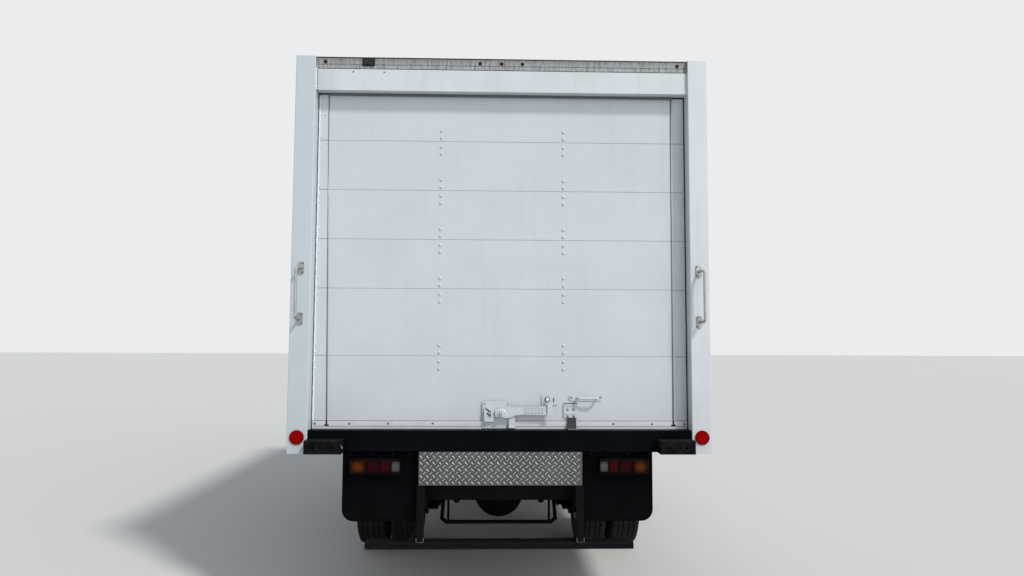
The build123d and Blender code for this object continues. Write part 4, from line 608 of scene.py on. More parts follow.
# Two thin dark lines along both sides of the bead are painted shade.
bead_shade_left = [(x - 0.0082 + 0.0014 * math.sin(k * 3.7), header_y + 0.0006, z) for k, (x, y, z) in enumerate(bead)]
bead_shade_right = [(x + 0.0078 + 0.0014 * math.sin(k * 2.9), header_y + 0.0006, z) for k, (x, y, z) in enumerate(bead)]
tube("joint_shadow", hole_and_shade_black, [bead_shade_left, bead_shade_right], 0.0016, sides=6)

# Sill and dock steps: folded and welded steel plate in black paint, bolted below the rear frame.
# The steps are scuffed bright at their treads, and paint is chipped off along one edge.
sill_black = coated(
    "sill_black", 0.0003, (0.0012, 0.0020, 0.0036), ((0.0030, 0.0038, 0.0055), 0.7, 0.14),
    dirt=((0.012, 0.012, 0.012), 0.08, 0.8, 1.15), streaks=0.03, specks=0.05, rough=0.38, grain=0.004, shine=0.02,
)
dress(sill_black, "rear_sill")
step_black = coated(
    "step_black", 0.0004, (0.0022, 0.0026, 0.0034), ((0.009, 0.0095, 0.011), 0.8, 0.03),
    dirt=((0.02, 0.02, 0.02), 0.2, 0.8, 1.15), worn=((0.05, 0.05, 0.052), 0.35, 1.0125, 1.05), specks=0.3, rough=0.42,
    grain=0.003, shine=0.03,
)
dress(step_black, "dock_steps")

chips = []
for k in range(5):
    x = -0.908 + 0.005 * k
    chips.append(((x - 0.0030, -3.0699, 1.0110 - 0.0090 * k), (x + 0.0030, -3.066, 1.0175 - 0.0085 * k), 58))
blocks("step_chips", zinc_nut, chips, 0.0010)

# Roll-up door: six laminated panels with a cool white painted face.
# Each seam carries hinge rivets in two columns, and edge rivets near both tracks.
door_white = coated(
    "door_white", 0.0002, (0.545, 0.582, 0.622), ((0.50, 0.535, 0.57), 0.7, 0.4),
    dirt=((0.30, 0.32, 0.33), 0.22, 1.0, 1.8), streaks=0.14, specks=0.08, rough=0.36, grain=0.005, coat_weight=0.15,
)
dress(door_white, "roll_door", "door_hardware")
door_face_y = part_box("roll_door")[0].y
seam_zs = [1.488, 1.884, 2.177, 2.472, 2.770]
hinge_offsets = [0.064, 0.021, -0.032, -0.075]
places = [(x, door_face_y, z + dz) for x in (-0.364, 0.368) for z in seam_zs for dz in hinge_offsets]
fasteners("hinge_rivets", door_white, 0.0088, 0.0045, places, 12)
places = [(x, door_face_y, z + dz) for x in (-1.088, 1.088) for z in seam_zs for dz in hinge_offsets]
places.extend([(-1.088, door_face_y, 2.925), (-1.058, door_face_y, 2.925)])
fasteners("edge_rivets", door_white, 0.0075, 0.004, places)

# Lift wires: thin steel cables that run down both edges of the door.
# They end in T-shaped anchors on the bottom rail. Dark lines mark the rail's folds, and a dark strip at the door's
# head is painted shade under the header.
cable_steel = coated(
    "cable_steel", 0.0002, (0.50, 0.52, 0.54), ((0.30, 0.30, 0.30), 0.6, 0.05), rough=0.4, grain=0.001, metallic=0.6,
)
# This grey colours the painted shade lines beside the wires and on the lever, the painted shade at the door's head,
# and the rail's dark fold lines.
shade_and_joint_grey = coated("shade_and_joint_grey", 0.0001, (0.13, 0.14, 0.15), ((0.07, 0.075, 0.08),), rough=0.6, grain=0.002, shine=0.2)
wire_y = door_face_y - 0.0040
trim_face_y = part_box("door_trim")[0].y
# A dark strip at the door's head is painted shade under the header.
head_shade_strip = [((-1.030, door_face_y - 0.016, 3.0415), (1.030, door_face_y - 0.0005, 3.0545))]
blocks("door_head_shade_strip", shade_and_joint_grey, head_shade_strip, 0.003)
wires = [((-1.042, 3.052), (-1.014, 1.106)), ((1.018, 3.052), (1.013, 1.106))]
wire_paths, shade_paths = [], []
for (top_x, top_z), (foot_x, foot_z) in wires:
    wire_paths.append([(top_x + 0.0035, wire_y, top_z), (foot_x + 0.0035, wire_y, foot_z)])
    shade_paths.append([(top_x, wire_y + 0.0022, top_z), (foot_x, wire_y + 0.0022, foot_z)])
rail_lines = [
    ((-1.09, trim_face_y - 0.0006, 1.0795), (1.09, trim_face_y + 0.001, 1.0820)),
    ((-1.09, trim_face_y - 0.0004, 1.1110), (1.09, trim_face_y + 0.001, 1.1124)),
]
blocks("door_rail_lines", shade_and_joint_grey, rail_lines, 0.0002)
tube("lift_wires", cable_steel, wire_paths, 0.0019)
tube("lift_wire_shades", shade_and_joint_grey, shade_paths, 0.0012)
anchors = []
for foot_x in (-1.012, 1.015):
    anchors.append(((foot_x - 0.004, wire_y - 0.004, 1.088), (foot_x + 0.004, wire_y + 0.002, 1.112)))
    anchors.append(((foot_x - 0.013, wire_y - 0.004, 1.084), (foot_x + 0.013, wire_y + 0.002, 1.0915)))
blocks("lift_wire_anchors", hole_and_shade_black, anchors, 0.001)

# Bottom rail and edge strips: extruded aluminium with its mill finish.
# Dark pan-head screws fix the rail to the lowest panel.
trim_aluminium = coated(
    "trim_aluminium", 0.0002, (0.66, 0.68, 0.70), ((0.56, 0.57, 0.58), 0.6, 0.08),
    dirt=((0.14, 0.14, 0.14), 0.18, 0.9, 1.3), specks=0.2, rough=0.42, grain=0.002, metallic=0.15,
)
dress(trim_aluminium, "door_trim")
dark_screw = coated(
    "dark_screw", 0.0001, (0.12, 0.12, 0.125), ((0.05, 0.045, 0.04), 0.6, 0.01), dirt=((0.12, 0.10, 0.08), 0.1),
    rough=0.45, grain=0.002, metallic=0.6,
)
places = [(x, trim_face_y, 1.096) for x in (-1.08, -0.88, -0.655, -0.397, 0.66, 0.888, 1.08)]
fasteners("rail_screws", dark_screw, 0.0065, 0.004, places)

# Latch: small parts on pressed steel plates, riveted at their corners to the door's foot.
# The lever turns on a bolt with its washer and nut, and the staple and the clamp have slanted slots.
plate_face, keeper_face = trim_face_y - 0.0053, door_face_y - 0.0053
places = [(x, plate_face, z) for x in (-0.094, 0.042) for z in (1.086, 1.213)]
fasteners("latch_rivets", zinc_nut, 0.0062, 0.0034, places, 12)
lever_face = plate_face - 0.028
pivot, keeper = (0.005, lever_face, 1.161), (0.273, keeper_face - 0.008, 1.239)
# The dark rings between washer and nut and round the keeper nut are painted shade.
# columns: name, finish, radius, height, place, sides
latch_table = [
    ("pivot_washer", joint_white, 0.0245, 0.0068, pivot, 28),
    ("pivot_shade_ring", hole_and_shade_black, 0.0182, 0.0086, pivot, 28),
    ("pivot_nut", joint_white, 0.0155, 0.0200, pivot, 6),
    ("pivot_bolt_end", zinc_nut, 0.0065, 0.0245, pivot, 14),
    ("keeper_shade_ring", hole_and_shade_black, 0.0148, 0.0030, keeper, 24),
    ("keeper_nut", joint_white, 0.0125, 0.0120, keeper, 6),
]
for name, finish, radius, height, place, sides in latch_table:
    fasteners(name, finish, radius, height, [place], sides, domed=False)
# Thin dark lines along the lever's edges and beside its grip ribs are painted shade.
lever_shade_marks = [
    ((0.135, lever_face - 0.0003, 1.1575), (0.245, lever_face + 0.001, 1.1587)),
    ((0.135, lever_face - 0.0003, 1.1903), (0.245, lever_face + 0.001, 1.1915)),
]
for rib_x in (0.138, 0.158, 0.178, 0.198, 0.218, 0.238):
    lever_shade_marks.append(((rib_x + 0.0052, lever_face - 0.0004, 1.160), (rib_x + 0.0066, lever_face + 0.001, 1.190)))
blocks("lever_shades", shade_and_joint_grey, lever_shade_marks, 0.0002)
staple_face = plate_face - 0.016
slots = [
    ((-0.092, staple_face - 0.0008, 1.1745), (-0.064, staple_face + 0.001, 1.1815), 35),
    ((-0.086, staple_face - 0.0008, 1.1465), (-0.058, staple_face + 0.001, 1.1535), 35),
]
blocks("staple_slots", hole_and_shade_black, slots, 0.0003)
places = [(0.413, keeper_face, 1.249), (0.585, keeper_face, 1.251)]
fasteners("pull_rivets", zinc_nut, 0.0068, 0.0036, places, 12)
clamp_face = door_face_y - 0.0073
places = [(x, clamp_face, z) for x in (0.392, 0.428) for z in (1.180, 1.140)]
fasteners("clamp_screws", zinc_nut, 0.0072, 0.0034, places, 14)
slots = []
for x, y, z in places:
    slot_low, slot_high = (x - 0.0062, clamp_face - 0.0040, z - 0.0011), (x + 0.0062, clamp_face - 0.003, z + 0.0011)
    slots.append((slot_low, slot_high, 40))
slots.append(((0.372, clamp_face - 0.0008, 1.2125), (0.448, clamp_face + 0.001, 1.2160)))
slots.append(((0.307, keeper_face - 0.0018, 1.222), (0.311, keeper_face + 0.001, 1.246)))
blocks("clamp_slots", hole_and_shade_black, slots, 0.0003)

# Pull strap: dark grey woven webbing, folded and held at the foot of the door.
# Its weave is ribbed across and along.
def waves(tree, place, scale, direction, distortion=0.0):
    """The value socket of bands across one axis."""
    links = [("Vector", place), ("Scale", scale), ("Distortion", distortion)]
    return add_node(tree, "ShaderNodeTexWave", links, bands_direction=direction).outputs["Fac"]


strap_webbing, web, web_shader = blank("strap_webbing")
web_place = object_place(web)
web_relief = maths(web, "MULTIPLY", waves(web, web_place, 130.0, "Z", 0.6), waves(web, web_place, 60.0, "X", 0.2))
web_tone = mixed(web, web_relief, (0.012, 0.014, 0.018, 1), (0.045, 0.052, 0.062, 1))
web.links.new(web_tone, web_shader["Base Color"])
embossed(web, web_shader, web_relief, 0.0008)
web_shader["Roughness"].default_value = 0.85
web_shader["Sheen Weight"].default_value = 0.3
dress(strap_webbing, "pull_strap")

# Grab handles: zinc-plated round bars with pressed end plates.
# Two dark screws in each plate fix them to the posts.
zinc_plate = coated(
    "zinc_plate", 0.0002, (0.48, 0.49, 0.48), ((0.30, 0.30, 0.29), 0.7, 0.03),
    dirt=((0.16, 0.09, 0.05), 0.25, 1.5, 2.3), specks=0.3, rough=0.38, grain=0.002, metallic=0.85,
)
dress(zinc_plate, "grab_handles")
places = []
for x, zs in ((-1.149, (1.702, 1.995)), (1.141, (1.693, 1.989))):
    places.extend([(x, rear_y - 0.0053, z + dz) for z in zs for dz in (-0.027, 0.027)])
fasteners("handle_screws", dark_screw, 0.0055, 0.0030, places)

# Reflectors and tail lamps: moulded lenses over black housings. Each lamp has, from its outer end,
# an amber turn lamp, a dark red stop lamp, a bright red reflector and a clear reverse lamp.
def lens_material(name, rough, facet, depth, gloss=1.0):
    """A moulded lens with small prisms, not yet coloured: the material, its tree, sockets, place and prisms."""
    finish, tree, shader = blank(name)
    place = object_place(tree)
    cells = add_node(tree, "ShaderNodeTexVoronoi", [("Vector", place), ("Scale", 1 / facet), ("Randomness", 0.0)])
    embossed(tree, shader, cells.outputs["Distance"], depth)
    shader["Roughness"].default_value = rough
    shader["Coat Weight"].default_value = gloss
    shader["Coat Roughness"].default_value = 0.08
    shader["Specular IOR Level"].default_value = 0.5 * gloss
    return finish, tree, shader, place, cells.outputs["Distance"]


def one_colour(lens, colour, haze_share):
    """Gives a lens one colour, darker between its prisms, with road haze over it."""
    finish, tree, shader, place, prisms = lens
    tone = mixed(tree, between(tree, prisms, 0.0, 0.6), (*colour, 1), (*[c * 0.55 for c in colour], 1))
    haze = between(tree, noise(tree, place, 14.0, 5.0), 0.5, 0.8, 0.0, haze_share)
    tree.links.new(mixed(tree, haze, tone, (0.25, 0.22, 0.20, 1)), shader["Base Color"])
    return finish


def round_spot(tree, across, middle, half_width, rise, level, half_height):
    """The squared distance from the middle of a round spot, 1 at its edge."""
    run = maths(tree, "DIVIDE", maths(tree, "SUBTRACT", across, middle), half_width)
    lift = maths(tree, "DIVIDE", maths(tree, "SUBTRACT", rise, level), half_height)
    return maths(tree, "ADD", maths(tree, "MULTIPLY", run, run), maths(tree, "MULTIPLY", lift, lift))


reflector_red = one_colour(lens_material("reflector_red", 0.3, 0.004, 0.0004, 0.02), (0.32, 0.0008, 0.0020), 0.01)
dress(reflector_red, "reflectors")
# Each band carries a painted highlight in its middle, a reflection of the reflector behind the lens, and the band
# colours are darkened to the shade that lies under the sill.
lamp_lens, lamp, lamp_shader, lamp_place, _ = lens_material("lamp_lens", 0.22, 0.007, 0.0010, 0.05)
lamp_axes = split(lamp, lamp_place)
lamp_ends = maths(lamp, "ADD", lamp_axes["X"], 0.864), maths(lamp, "SUBTRACT", 0.857, lamp_axes["X"])
lamp_along = maths(lamp, "MINIMUM", *lamp_ends)
# columns: distance of a band from the outer end, place of its painted highlight, colour at its edge, colour of its
# painted highlight
lamp_bands = [
    (0.0, 0.0515, (0.012, 0.003, 0.0006, 1), (0.095, 0.020, 0.003, 1)),
    (0.0975, 0.137, (0.004, 0.0, 0.0004, 1), (0.020, 0.0004, 0.002, 1)),
    (0.1765, 0.207, (0.014, 0.0, 0.0004, 1), (0.036, 0.0002, 0.001, 1)),
    (0.237, 0.2635, (0.005, 0.0055, 0.006, 1), (0.075, 0.080, 0.085, 1)),
]
lamp_tone = (0.1, 0.01, 0.01, 1)
for start, highlight_place, edge_tone, highlight_tone in lamp_bands:
    highlight_far = round_spot(lamp, lamp_along, highlight_place, 0.040, lamp_axes["Z"], 0.861, 0.034)
    band_tone = mixed(lamp, between(lamp, highlight_far, 0.0, 1.0, 1.0, 0.0), edge_tone, highlight_tone)
    lamp_tone = mixed(lamp, maths(lamp, "GREATER_THAN", lamp_along, start), lamp_tone, band_tone)
lamp_ribs = maths(lamp, "MULTIPLY", waves(lamp, lamp_place, 55.0, "X"), 0.18)
lamp.links.new(mixed(lamp, lamp_ribs, lamp_tone, (0.02, 0.01, 0.01, 1)), lamp_shader["Base Color"])
dress(lamp_lens, "tail_lamp_lenses")

# Marker lamps: moulded lenses on black bases, screwed to the body.
# They are amber along the sides and over the cab, and red at the rear corners.
marker_lens, mark, mark_shader, mark_place, _ = lens_material("marker_lens", 0.2, 0.006, 0.0008)
mark_cells = add_node(mark, "ShaderNodeTexVoronoi", [("Vector", mark_place), ("Scale", 140.0), ("Randomness", 0.0)])
mark_prism = between(mark, mark_cells.outputs["Distance"], 0.0, 0.6, 0.0, 0.5)
mark_rear = maths(mark, "LESS_THAN", split(mark, mark_place)["Y"], -2.5)
mark_tone = mixed(mark, mark_rear, (0.75, 0.24, 0.02, 1), (0.36, 0.003, 0.006, 1))
mark.links.new(mixed(mark, mark_prism, mark_tone, (0.12, 0.02, 0.005, 1)), mark_shader["Base Color"])
dress(marker_lens, "marker_lamps")
bases = []
half_long, half_tall, base_depth, front_z = 0.052, 0.021, 0.005, 3.147
for x in (-1.0, -0.18, 0.0, 0.18, 1.0):
    base_low = (x - half_long, front_y, front_z - half_tall)
    bases.append((base_low, (x + half_long, front_y + base_depth, front_z + half_tall)))
for side in (-1, 1):
    for y, z in ((-2.835, 3.201), (-2.835, 1.005), (-0.865, 1.005), (1.055, 3.201), (1.055, 1.005)):
        base_low = (side * rail_face_x, y - half_long, z - half_tall)
        bases.append((base_low, (side * (rail_face_x + base_depth), y + half_long, z + half_tall)))
blocks("marker_bases", bracket_finish, bases, 0.0012)
lamp_black = coated(
    "lamp_black", 0.0002, (0.0015, 0.0015, 0.0020), ((0.004, 0.004, 0.005), 0.5, 0.05),
    dirt=((0.015, 0.014, 0.013), 0.3, 0.6, 1.1), specks=0.2, rough=0.4, grain=0.001, shine=0.04,
)
dress(lamp_black, "tail_lamp_housings")

# Mud flaps: black moulded rubber sheets, hung by bolts under the sill.
# Each has a raised rim, one large and one small round at its foot, and road film there.
flap_rubber = coated(
    "flap_rubber", 0.0005, (0.0010, 0.0013, 0.0020), ((0.0030, 0.0035, 0.0050), 0.6, 0.16),
    dirt=((0.012, 0.011, 0.010), 0.15, 0.5, 0.85), streaks=0.12, specks=0.2, rough=0.55, grain=0.003, shine=0.02,
)
flap_low, flap_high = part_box("mud_flaps")
flap_face_y = flap_low.y + 0.003


def corner_arc(middle_x, middle_z, radius, from_angle, to_angle, steps=8):
    """Points along a quarter round in the rear plane."""
    angles = [math.radians(from_angle + (to_angle - from_angle) * k / steps) for k in range(steps + 1)]
    return [(middle_x + radius * math.cos(a), middle_z + radius * math.sin(a)) for a in angles]


def flap_outline(inner, outer, inset):
    """The flap's edge from its outer head corner down, round both lower corners and up, drawn in by an inset."""
    side = 1 if outer > 0 else -1
    x_in, x_out = inner + side * inset, outer - side * inset
    foot, head = flap_low.z + inset, flap_high.z - inset
    big, small = 0.066 - inset, max(0.018 - inset, 0.004)
    turns = ((0, -90), (-90, -180)) if side > 0 else ((180, 270), (270, 360))
    outline = [(x_out, head)]
    outline += corner_arc(x_out - side * big, foot + big, big, *turns[0])
    outline += corner_arc(x_in + side * small, foot + small, small, *turns[1])
    outline.append((x_in, head))
    return outline


build = bmesh.new()
for inner, outer in ((-0.470, -0.908), (0.470, 0.881)):
    # columns: inset from the edge, depth behind the rubber's face
    levels = [(0.0, 0.008), (0.0, 0.0015), (0.0015, 0.0), (0.0095, 0.0)]
    levels += [(0.010, -0.003), (0.015, -0.003), (0.0155, 0.0), (0.045, 0.0006)]
    rings = []
    for inset, depth in levels:
        rings.append([build.verts.new((x, flap_face_y + depth, z)) for x, z in flap_outline(inner, outer, inset)])
    skinned(build, rings)
flaps = finished("mud_flap_sheets", flap_rubber, build)
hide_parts("mud_flaps")
places = [(side * x, flap_low.y, flap_high.z - 0.018) for side in (-1, 1) for x in (0.52, 0.62, 0.74, 0.86)]
fasteners("flap_bolts", chassis_black, 0.011, 0.007, places, 6, domed=False)

# Tread plate: rolled aluminium sheet, screwed to the rear face under the sill.
# Its raised lozenges lean two ways in turn, and road dirt lies between them.
plate_alloy = coated(
    "plate_alloy", 0.0003, (0.105, 0.110, 0.112), ((0.070, 0.073, 0.074), 0.7, 0.08),
    dirt=((0.06, 0.057, 0.053), 0.3, 0.7, 1.0), specks=0.3, rough=0.45, grain=0.003, metallic=0.6,
)
dress(plate_alloy, "tread_plate")
lozenge_alloy = coated(
    "lozenge_alloy", 0.0002, (0.50, 0.51, 0.52), ((0.32, 0.325, 0.33), 0.6, 0.03),
    dirt=((0.15, 0.14, 0.13), 0.2, 0.7, 1.0), specks=0.3, rough=0.34, grain=0.002, metallic=0.7,
)
lozenge_tree, given, made = group_tree(
    "lozenges on points",
    "GeometryNodeTree",
    [
        ("Places", "Geometry", None),
        ("Half Length", "Float", 0.013),
        ("Half Width", "Float", 0.003),
        ("Rise", "Float", 0.0015),
        ("Finish", "Material", None),
    ],
    [("Geometry", "Geometry")],
)
ball = add_node(lozenge_tree, "GeometryNodeMeshUVSphere", [("Segments", 8), ("Rings", 4), ("Radius", 1.0)])
ball_axes = [("X", given["Half Length"]), ("Y", given["Rise"]), ("Z", given["Half Width"])]
ball_size = add_node(lozenge_tree, "ShaderNodeCombineXYZ", ball_axes).outputs["Vector"]
own_lean = add_node(lozenge_tree, "GeometryNodeInputNamedAttribute", [("Name", "lean")], data_type="FLOAT")
ball_turn = add_node(lozenge_tree, "ShaderNodeCombineXYZ", [("Y", own_lean.outputs["Attribute"])]).outputs["Vector"]
scattered(lozenge_tree, given, made, ball.outputs["Mesh"], ball_turn, ball_size)
plate_low, plate_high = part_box("tread_plate")
lozenge_pitch, plate_edge = 0.0366, 0.010
first_x, first_z = plate_low.x + 0.0137, plate_high.z - 0.0290
loz_points, loz_leans = [], []
for column in range(26):
    for row in range(6):
        for half, lean in ((0.0, 45), (0.5, -45)):
            x = first_x + (column + half) * lozenge_pitch
            z = first_z - (row + half - 1) * lozenge_pitch
            on_plate = plate_low.x + plate_edge < x < plate_high.x - plate_edge
            if on_plate and plate_low.z + plate_edge < z < plate_high.z - 0.009:
                loz_points.append((x, plate_low.y - 0.0001, z))
                loz_leans.append(math.radians(lean))
loz_mesh = bpy.data.meshes.new("tread_lozenges")
loz_mesh.from_pydata(loz_points, [], [])
loz_mesh.attributes.new("lean", "FLOAT", "POINT").data.foreach_set("value", loz_leans)
loz_values = {"Half Length": 0.0142, "Half Width": 0.0030, "Rise": 0.0018, "Finish": lozenge_alloy}
grown("tread_lozenges", lozenge_tree, loz_mesh, loz_values, True, "chassis")
screw_xs = (plate_low.x + 0.012, plate_high.x - 0.012)
places = [(x, plate_low.y, z) for x in screw_xs for z in (plate_low.z + 0.012, plate_high.z - 0.012)]
places.extend([(x, plate_low.y, plate_high.z - 0.012) for x in (-0.243, 0.228)])
fasteners("tread_plate_screws", dark_screw, 0.0072, 0.0036, places)

# Guard: weld beads where the steel uprights meet the bar.
# The paint on them is chipped, and bright metal shows.
weld_bright = coated(
    "weld_bright", 0.0012, (0.030, 0.030, 0.031), ((0.20, 0.19, 0.17), 0.7, 0.008), rough=0.45, grain=0.002,
    metallic=0.2,
)
welds = []
for x in (-0.477, -0.437, 0.437, 0.477):
    welds.append([(x + 0.001 * math.sin(3 * k), rear_y + 0.008, 0.437 + 0.004 * k) for k in range(7)])
welds.append([(-0.472 + 0.004 * k, rear_y + 0.009, 0.438 + 0.001 * math.sin(2.7 * k)) for k in range(9)])
welds.append([(0.440 + 0.004 * k, rear_y + 0.009, 0.438 + 0.001 * math.sin(3.1 * k)) for k in range(9)])
tube("guard_welds", weld_bright, welds, 0.0038, spread=[0.8, 1.1, 0.7, 1.0, 0.6, 1.2])

# Cab: pressed and welded steel panels in white enamel.
# The panes are lightly tinted glass with a little dust on it.
cab_white = coated(
    "cab_white", 0.0001, (0.64, 0.655, 0.665), ((0.60, 0.615, 0.62), 0.4, 0.8),
    dirt=((0.30, 0.28, 0.25), 0.35, 0.4, 1.5), specks=0.05, rough=0.26, grain=0.02, coat_weight=0.6,
)
dress(cab_white, "cab_nose", "cab_pillars", "cab_sides", "cab_back_wall", "cab_roof", "front_bumper")
dress(cab_white, "door_right", "door_left")


def dusty_glass(name, colour, scale, most):
    """Glass whose roughness rises to the most where dust lies on it: the material and its shader's sockets."""
    finish, tree, shader = blank(name)
    dust = between(tree, noise(tree, object_place(tree), scale, 6.0, 0.6), 0.45, 0.8, 0.02, most)
    tree.links.new(dust, shader["Roughness"])
    shader["Base Color"].default_value = colour
    return finish, shader


tinted_glass, glass_shader = dusty_glass("tinted_glass", (0.62, 0.72, 0.72, 1), 5.0, 0.22)
glass_shader["Transmission Weight"].default_value = 1.0
glass_shader["IOR"].default_value = 1.45
dress(tinted_glass, "cab_glass", "door_glass_right", "door_glass_left")


def rounded(corners, radius, steps=6):
    """A closed outline in a plane with its corners rounded off."""
    outline = []
    count = len(corners)
    for k in range(count):
        here = Vector(corners[k])
        back, front = Vector(corners[k - 1]) - here, Vector(corners[(k + 1) % count]) - here
        half = back.angle(front) / 2
        reach = radius / math.tan(half)
        start, end = here + reach * back.normalized(), here + reach * front.normalized()
        middle = here + radius / math.sin(half) * (back.normalized() + front.normalized()).normalized()
        for step in range(steps + 1):
            along = (start - middle).lerp(end - middle, step / steps).normalized()
            outline.append(middle + radius * along)
    return outline


# Window seals: extruded black rubber beads around every pane.
# They are pressed onto the panel edges, and those of the doors go with them.
seal_rubber = coated(
    "seal_rubber", 0.0002, (0.010, 0.010, 0.011), ((0.022, 0.022, 0.022), 0.6, 0.04),
    dirt=((0.12, 0.11, 0.10), 0.2, 1.0, 2.2), rough=0.6, grain=0.002,
)


cab_front_y, pane_foot_z, screen_slope, side_slope = 3.070, 1.360, 0.44, 0.0971


def screen_y(z, proud=0.0):
    """The windscreen's outer face at a height, and so much in front of it."""
    return cab_front_y - 0.110 - (z - pane_foot_z) * screen_slope + proud


def side_x(z):
    """The side window's outer face at a height."""
    return 0.980 - (z - pane_foot_z) * side_slope


screen_corners = [(-0.860, 1.400), (0.860, 1.400), (0.790, 2.030), (-0.790, 2.030)]
screen_path = [(q.x, screen_y(q.y, 0.001), q.y) for q in rounded(screen_corners, 0.050)]
tube("screen_seal", seal_rubber, [screen_path], 0.0085, body="cab", closed=True)
rear_corners = [(-0.480, 1.500), (0.480, 1.500), (0.480, 1.950), (-0.480, 1.950)]
cab_back_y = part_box("cab_back_wall")[0].y
rear_path = [(q.x, cab_back_y, q.y) for q in rounded(rear_corners, 0.040)]
tube("rear_window_seal", seal_rubber, [rear_path], 0.0075, body="cab", closed=True)
side_corners = [(cab_front_y - y, z) for y, z in ((0.370, 1.400), (0.590, 2.000), (1.150, 2.000), (1.150, 1.400))]
for side, body in ((-1, "left_door"), (1, "right_door")):
    side_path = [(side * (side_x(q.y) - 0.001), q.x, q.y) for q in rounded(side_corners, 0.045)]
    tube(f"{body}_seal", seal_rubber, [side_path], 0.0070, body=body, closed=True)

# Wipers: two black painted steel arms parked along the foot of the windscreen.
# Each turns on a pivot in the nose and carries a rubber blade.
wiper_foot_z = 1.392
wiper_arms, wiper_blades, wiper_pivots = [], [], []
for pivot_x in (-0.560, 0.120):
    wiper_pivots.append((pivot_x, screen_y(wiper_foot_z), wiper_foot_z))
    wiper_arms.append(
        [
            (pivot_x, screen_y(wiper_foot_z, 0.020), wiper_foot_z),
            (pivot_x + 0.05, screen_y(1.400, 0.026), 1.400),
            (pivot_x + 0.22, screen_y(1.432, 0.024), 1.432),
            (pivot_x + 0.24, screen_y(1.440, 0.014), 1.440),
        ]
    )
    wiper_blades.append(
        [
            (pivot_x - 0.01, screen_y(1.424, 0.009), 1.424),
            (pivot_x + 0.24, screen_y(1.440, 0.011), 1.440),
            (pivot_x + 0.49, screen_y(1.424, 0.009), 1.424),
        ]
    )
tube("wiper_arms", seal_rubber, wiper_arms, 0.0055, body="cab")
tube("wiper_blades", seal_rubber, wiper_blades, 0.0050, body="cab", sides=6)
pivot_facing = Vector((0, 1, screen_slope)).normalized()
fasteners(
    "wiper_pivots", seal_rubber, 0.016, 0.026, wiper_pivots, 16, domed=False, facing=pivot_facing, body="cab",
)
moulded_black = coated(
    "moulded_black", 0.0003, (0.018, 0.018, 0.02), ((0.035, 0.035, 0.036), 0.5, 0.3),
    dirt=((0.12, 0.11, 0.10), 0.25, 0.5, 1.4), specks=0.1, rough=0.5, grain=0.0015, shine=0.3,
)
dress(moulded_black, "front_grille", "mirrors")

# Mirror glasses: silvered plates held in rounded black heads.
# The upper one is almost flat, and the lower one bulges for a wide view.
silvered, silver_shader = dusty_glass("silvered_glass", (0.82, 0.84, 0.85, 1), 9.0, 0.18)
silver_shader["Metallic"].default_value = 1.0


def crowned_plate(name, finish, outline, face_y, crown, thickness, body):
    """A plate facing the rear with a rounded outline and a crowned face."""
    build = bmesh.new()
    middle = sum((q.to_2d() for q in outline), Vector((0, 0))) / len(outline)
    # columns: share of the outline, depth from the face
    levels = [(1.0, thickness), (1.0, 0.0), (0.97, -0.06 * crown)]
    levels += [(share, -crown * rise) for share, rise in ((0.8, 0.36), (0.6, 0.64), (0.4, 0.84), (0.2, 0.96))]
    rings = []
    for share, depth in levels:
        spots = [middle + share * (q.to_2d() - middle) for q in outline]
        rings.append([build.verts.new((spot.x, face_y + depth, spot.y)) for spot in spots])
    skinned(build, rings)
    return finished(name, finish, build, body, smooth=True)


mirror_face_y, wide_face_y = 2.8165, 2.8225
for side, word in both_sides:
    tall = [(1.131, 1.541), (1.279, 1.541), (1.279, 1.879), (1.131, 1.879)]
    wide = [(1.135, 1.380), (1.275, 1.380), (1.275, 1.500), (1.135, 1.500)]
    tall, wide = (rounded([(side * x, z) for x, z in corners], 0.018) for corners in (tall, wide))
    crowned_plate(f"mirror_glass_{word}", silvered, tall, mirror_face_y, 0.001, 0.003, "cab")
    crowned_plate(f"wide_mirror_glass_{word}", silvered, wide, wide_face_y, 0.004, 0.003, "cab")
cabin_grey = coated(
    "cabin_grey", 0.0004, (0.09, 0.09, 0.095), ((0.075, 0.075, 0.08), 0.4, 0.4),
    dirt=((0.14, 0.12, 0.10), 0.2, 0.8, 1.2), rough=0.6, grain=0.0012,
)
dress(cabin_grey, "cab_floor", "dashboard", "steering_wheel")

# Headlamps and bumper lamps: fluted clear glass, clipped into the panels.
# A painted reflection of a bright bowl behind it darkens towards its rim, painted highlights run along the flutes,
# and an amber turn lamp sits at the outer end.
lamp_clear, head, head_shader, head_place, _ = lens_material("lamp_clear", 0.12, 0.02, 0.0015)
head_axes = split(head, head_place)
head_far = maths(head, "ABSOLUTE", head_axes["X"])
bowl = round_spot(head, head_far, 0.725, 0.085, head_axes["Z"], 0.810, 0.075)
bowl_reflection = mixed(head, between(head, bowl, 0.05, 0.95), (0.88, 0.90, 0.90, 1), (0.30, 0.32, 0.33, 1))
bowl_reflection_rim = mixed(head, between(head, bowl, 0.95, 1.08), bowl_reflection, (0.10, 0.105, 0.11, 1))
flutes = maths(head, "MULTIPLY", waves(head, head_place, 26.0, "X"), 0.30)
flute_highlights = mixed(head, flutes, bowl_reflection_rim, (0.95, 0.97, 0.98, 1))
turn_lamp = maths(head, "GREATER_THAN", head_far, 0.850)
head.links.new(mixed(head, turn_lamp, flute_highlights, (0.80, 0.27, 0.02, 1)), head_shader["Base Color"])
dress(lamp_clear, "headlamps")
fog_lens = one_colour(lens_material("fog_lens", 0.12, 0.012, 0.0012), (0.62, 0.66, 0.68), 0.18)
fog_x, fog_z, fog_radius, fog_face_y = 0.720, 0.475, 0.034, 3.062
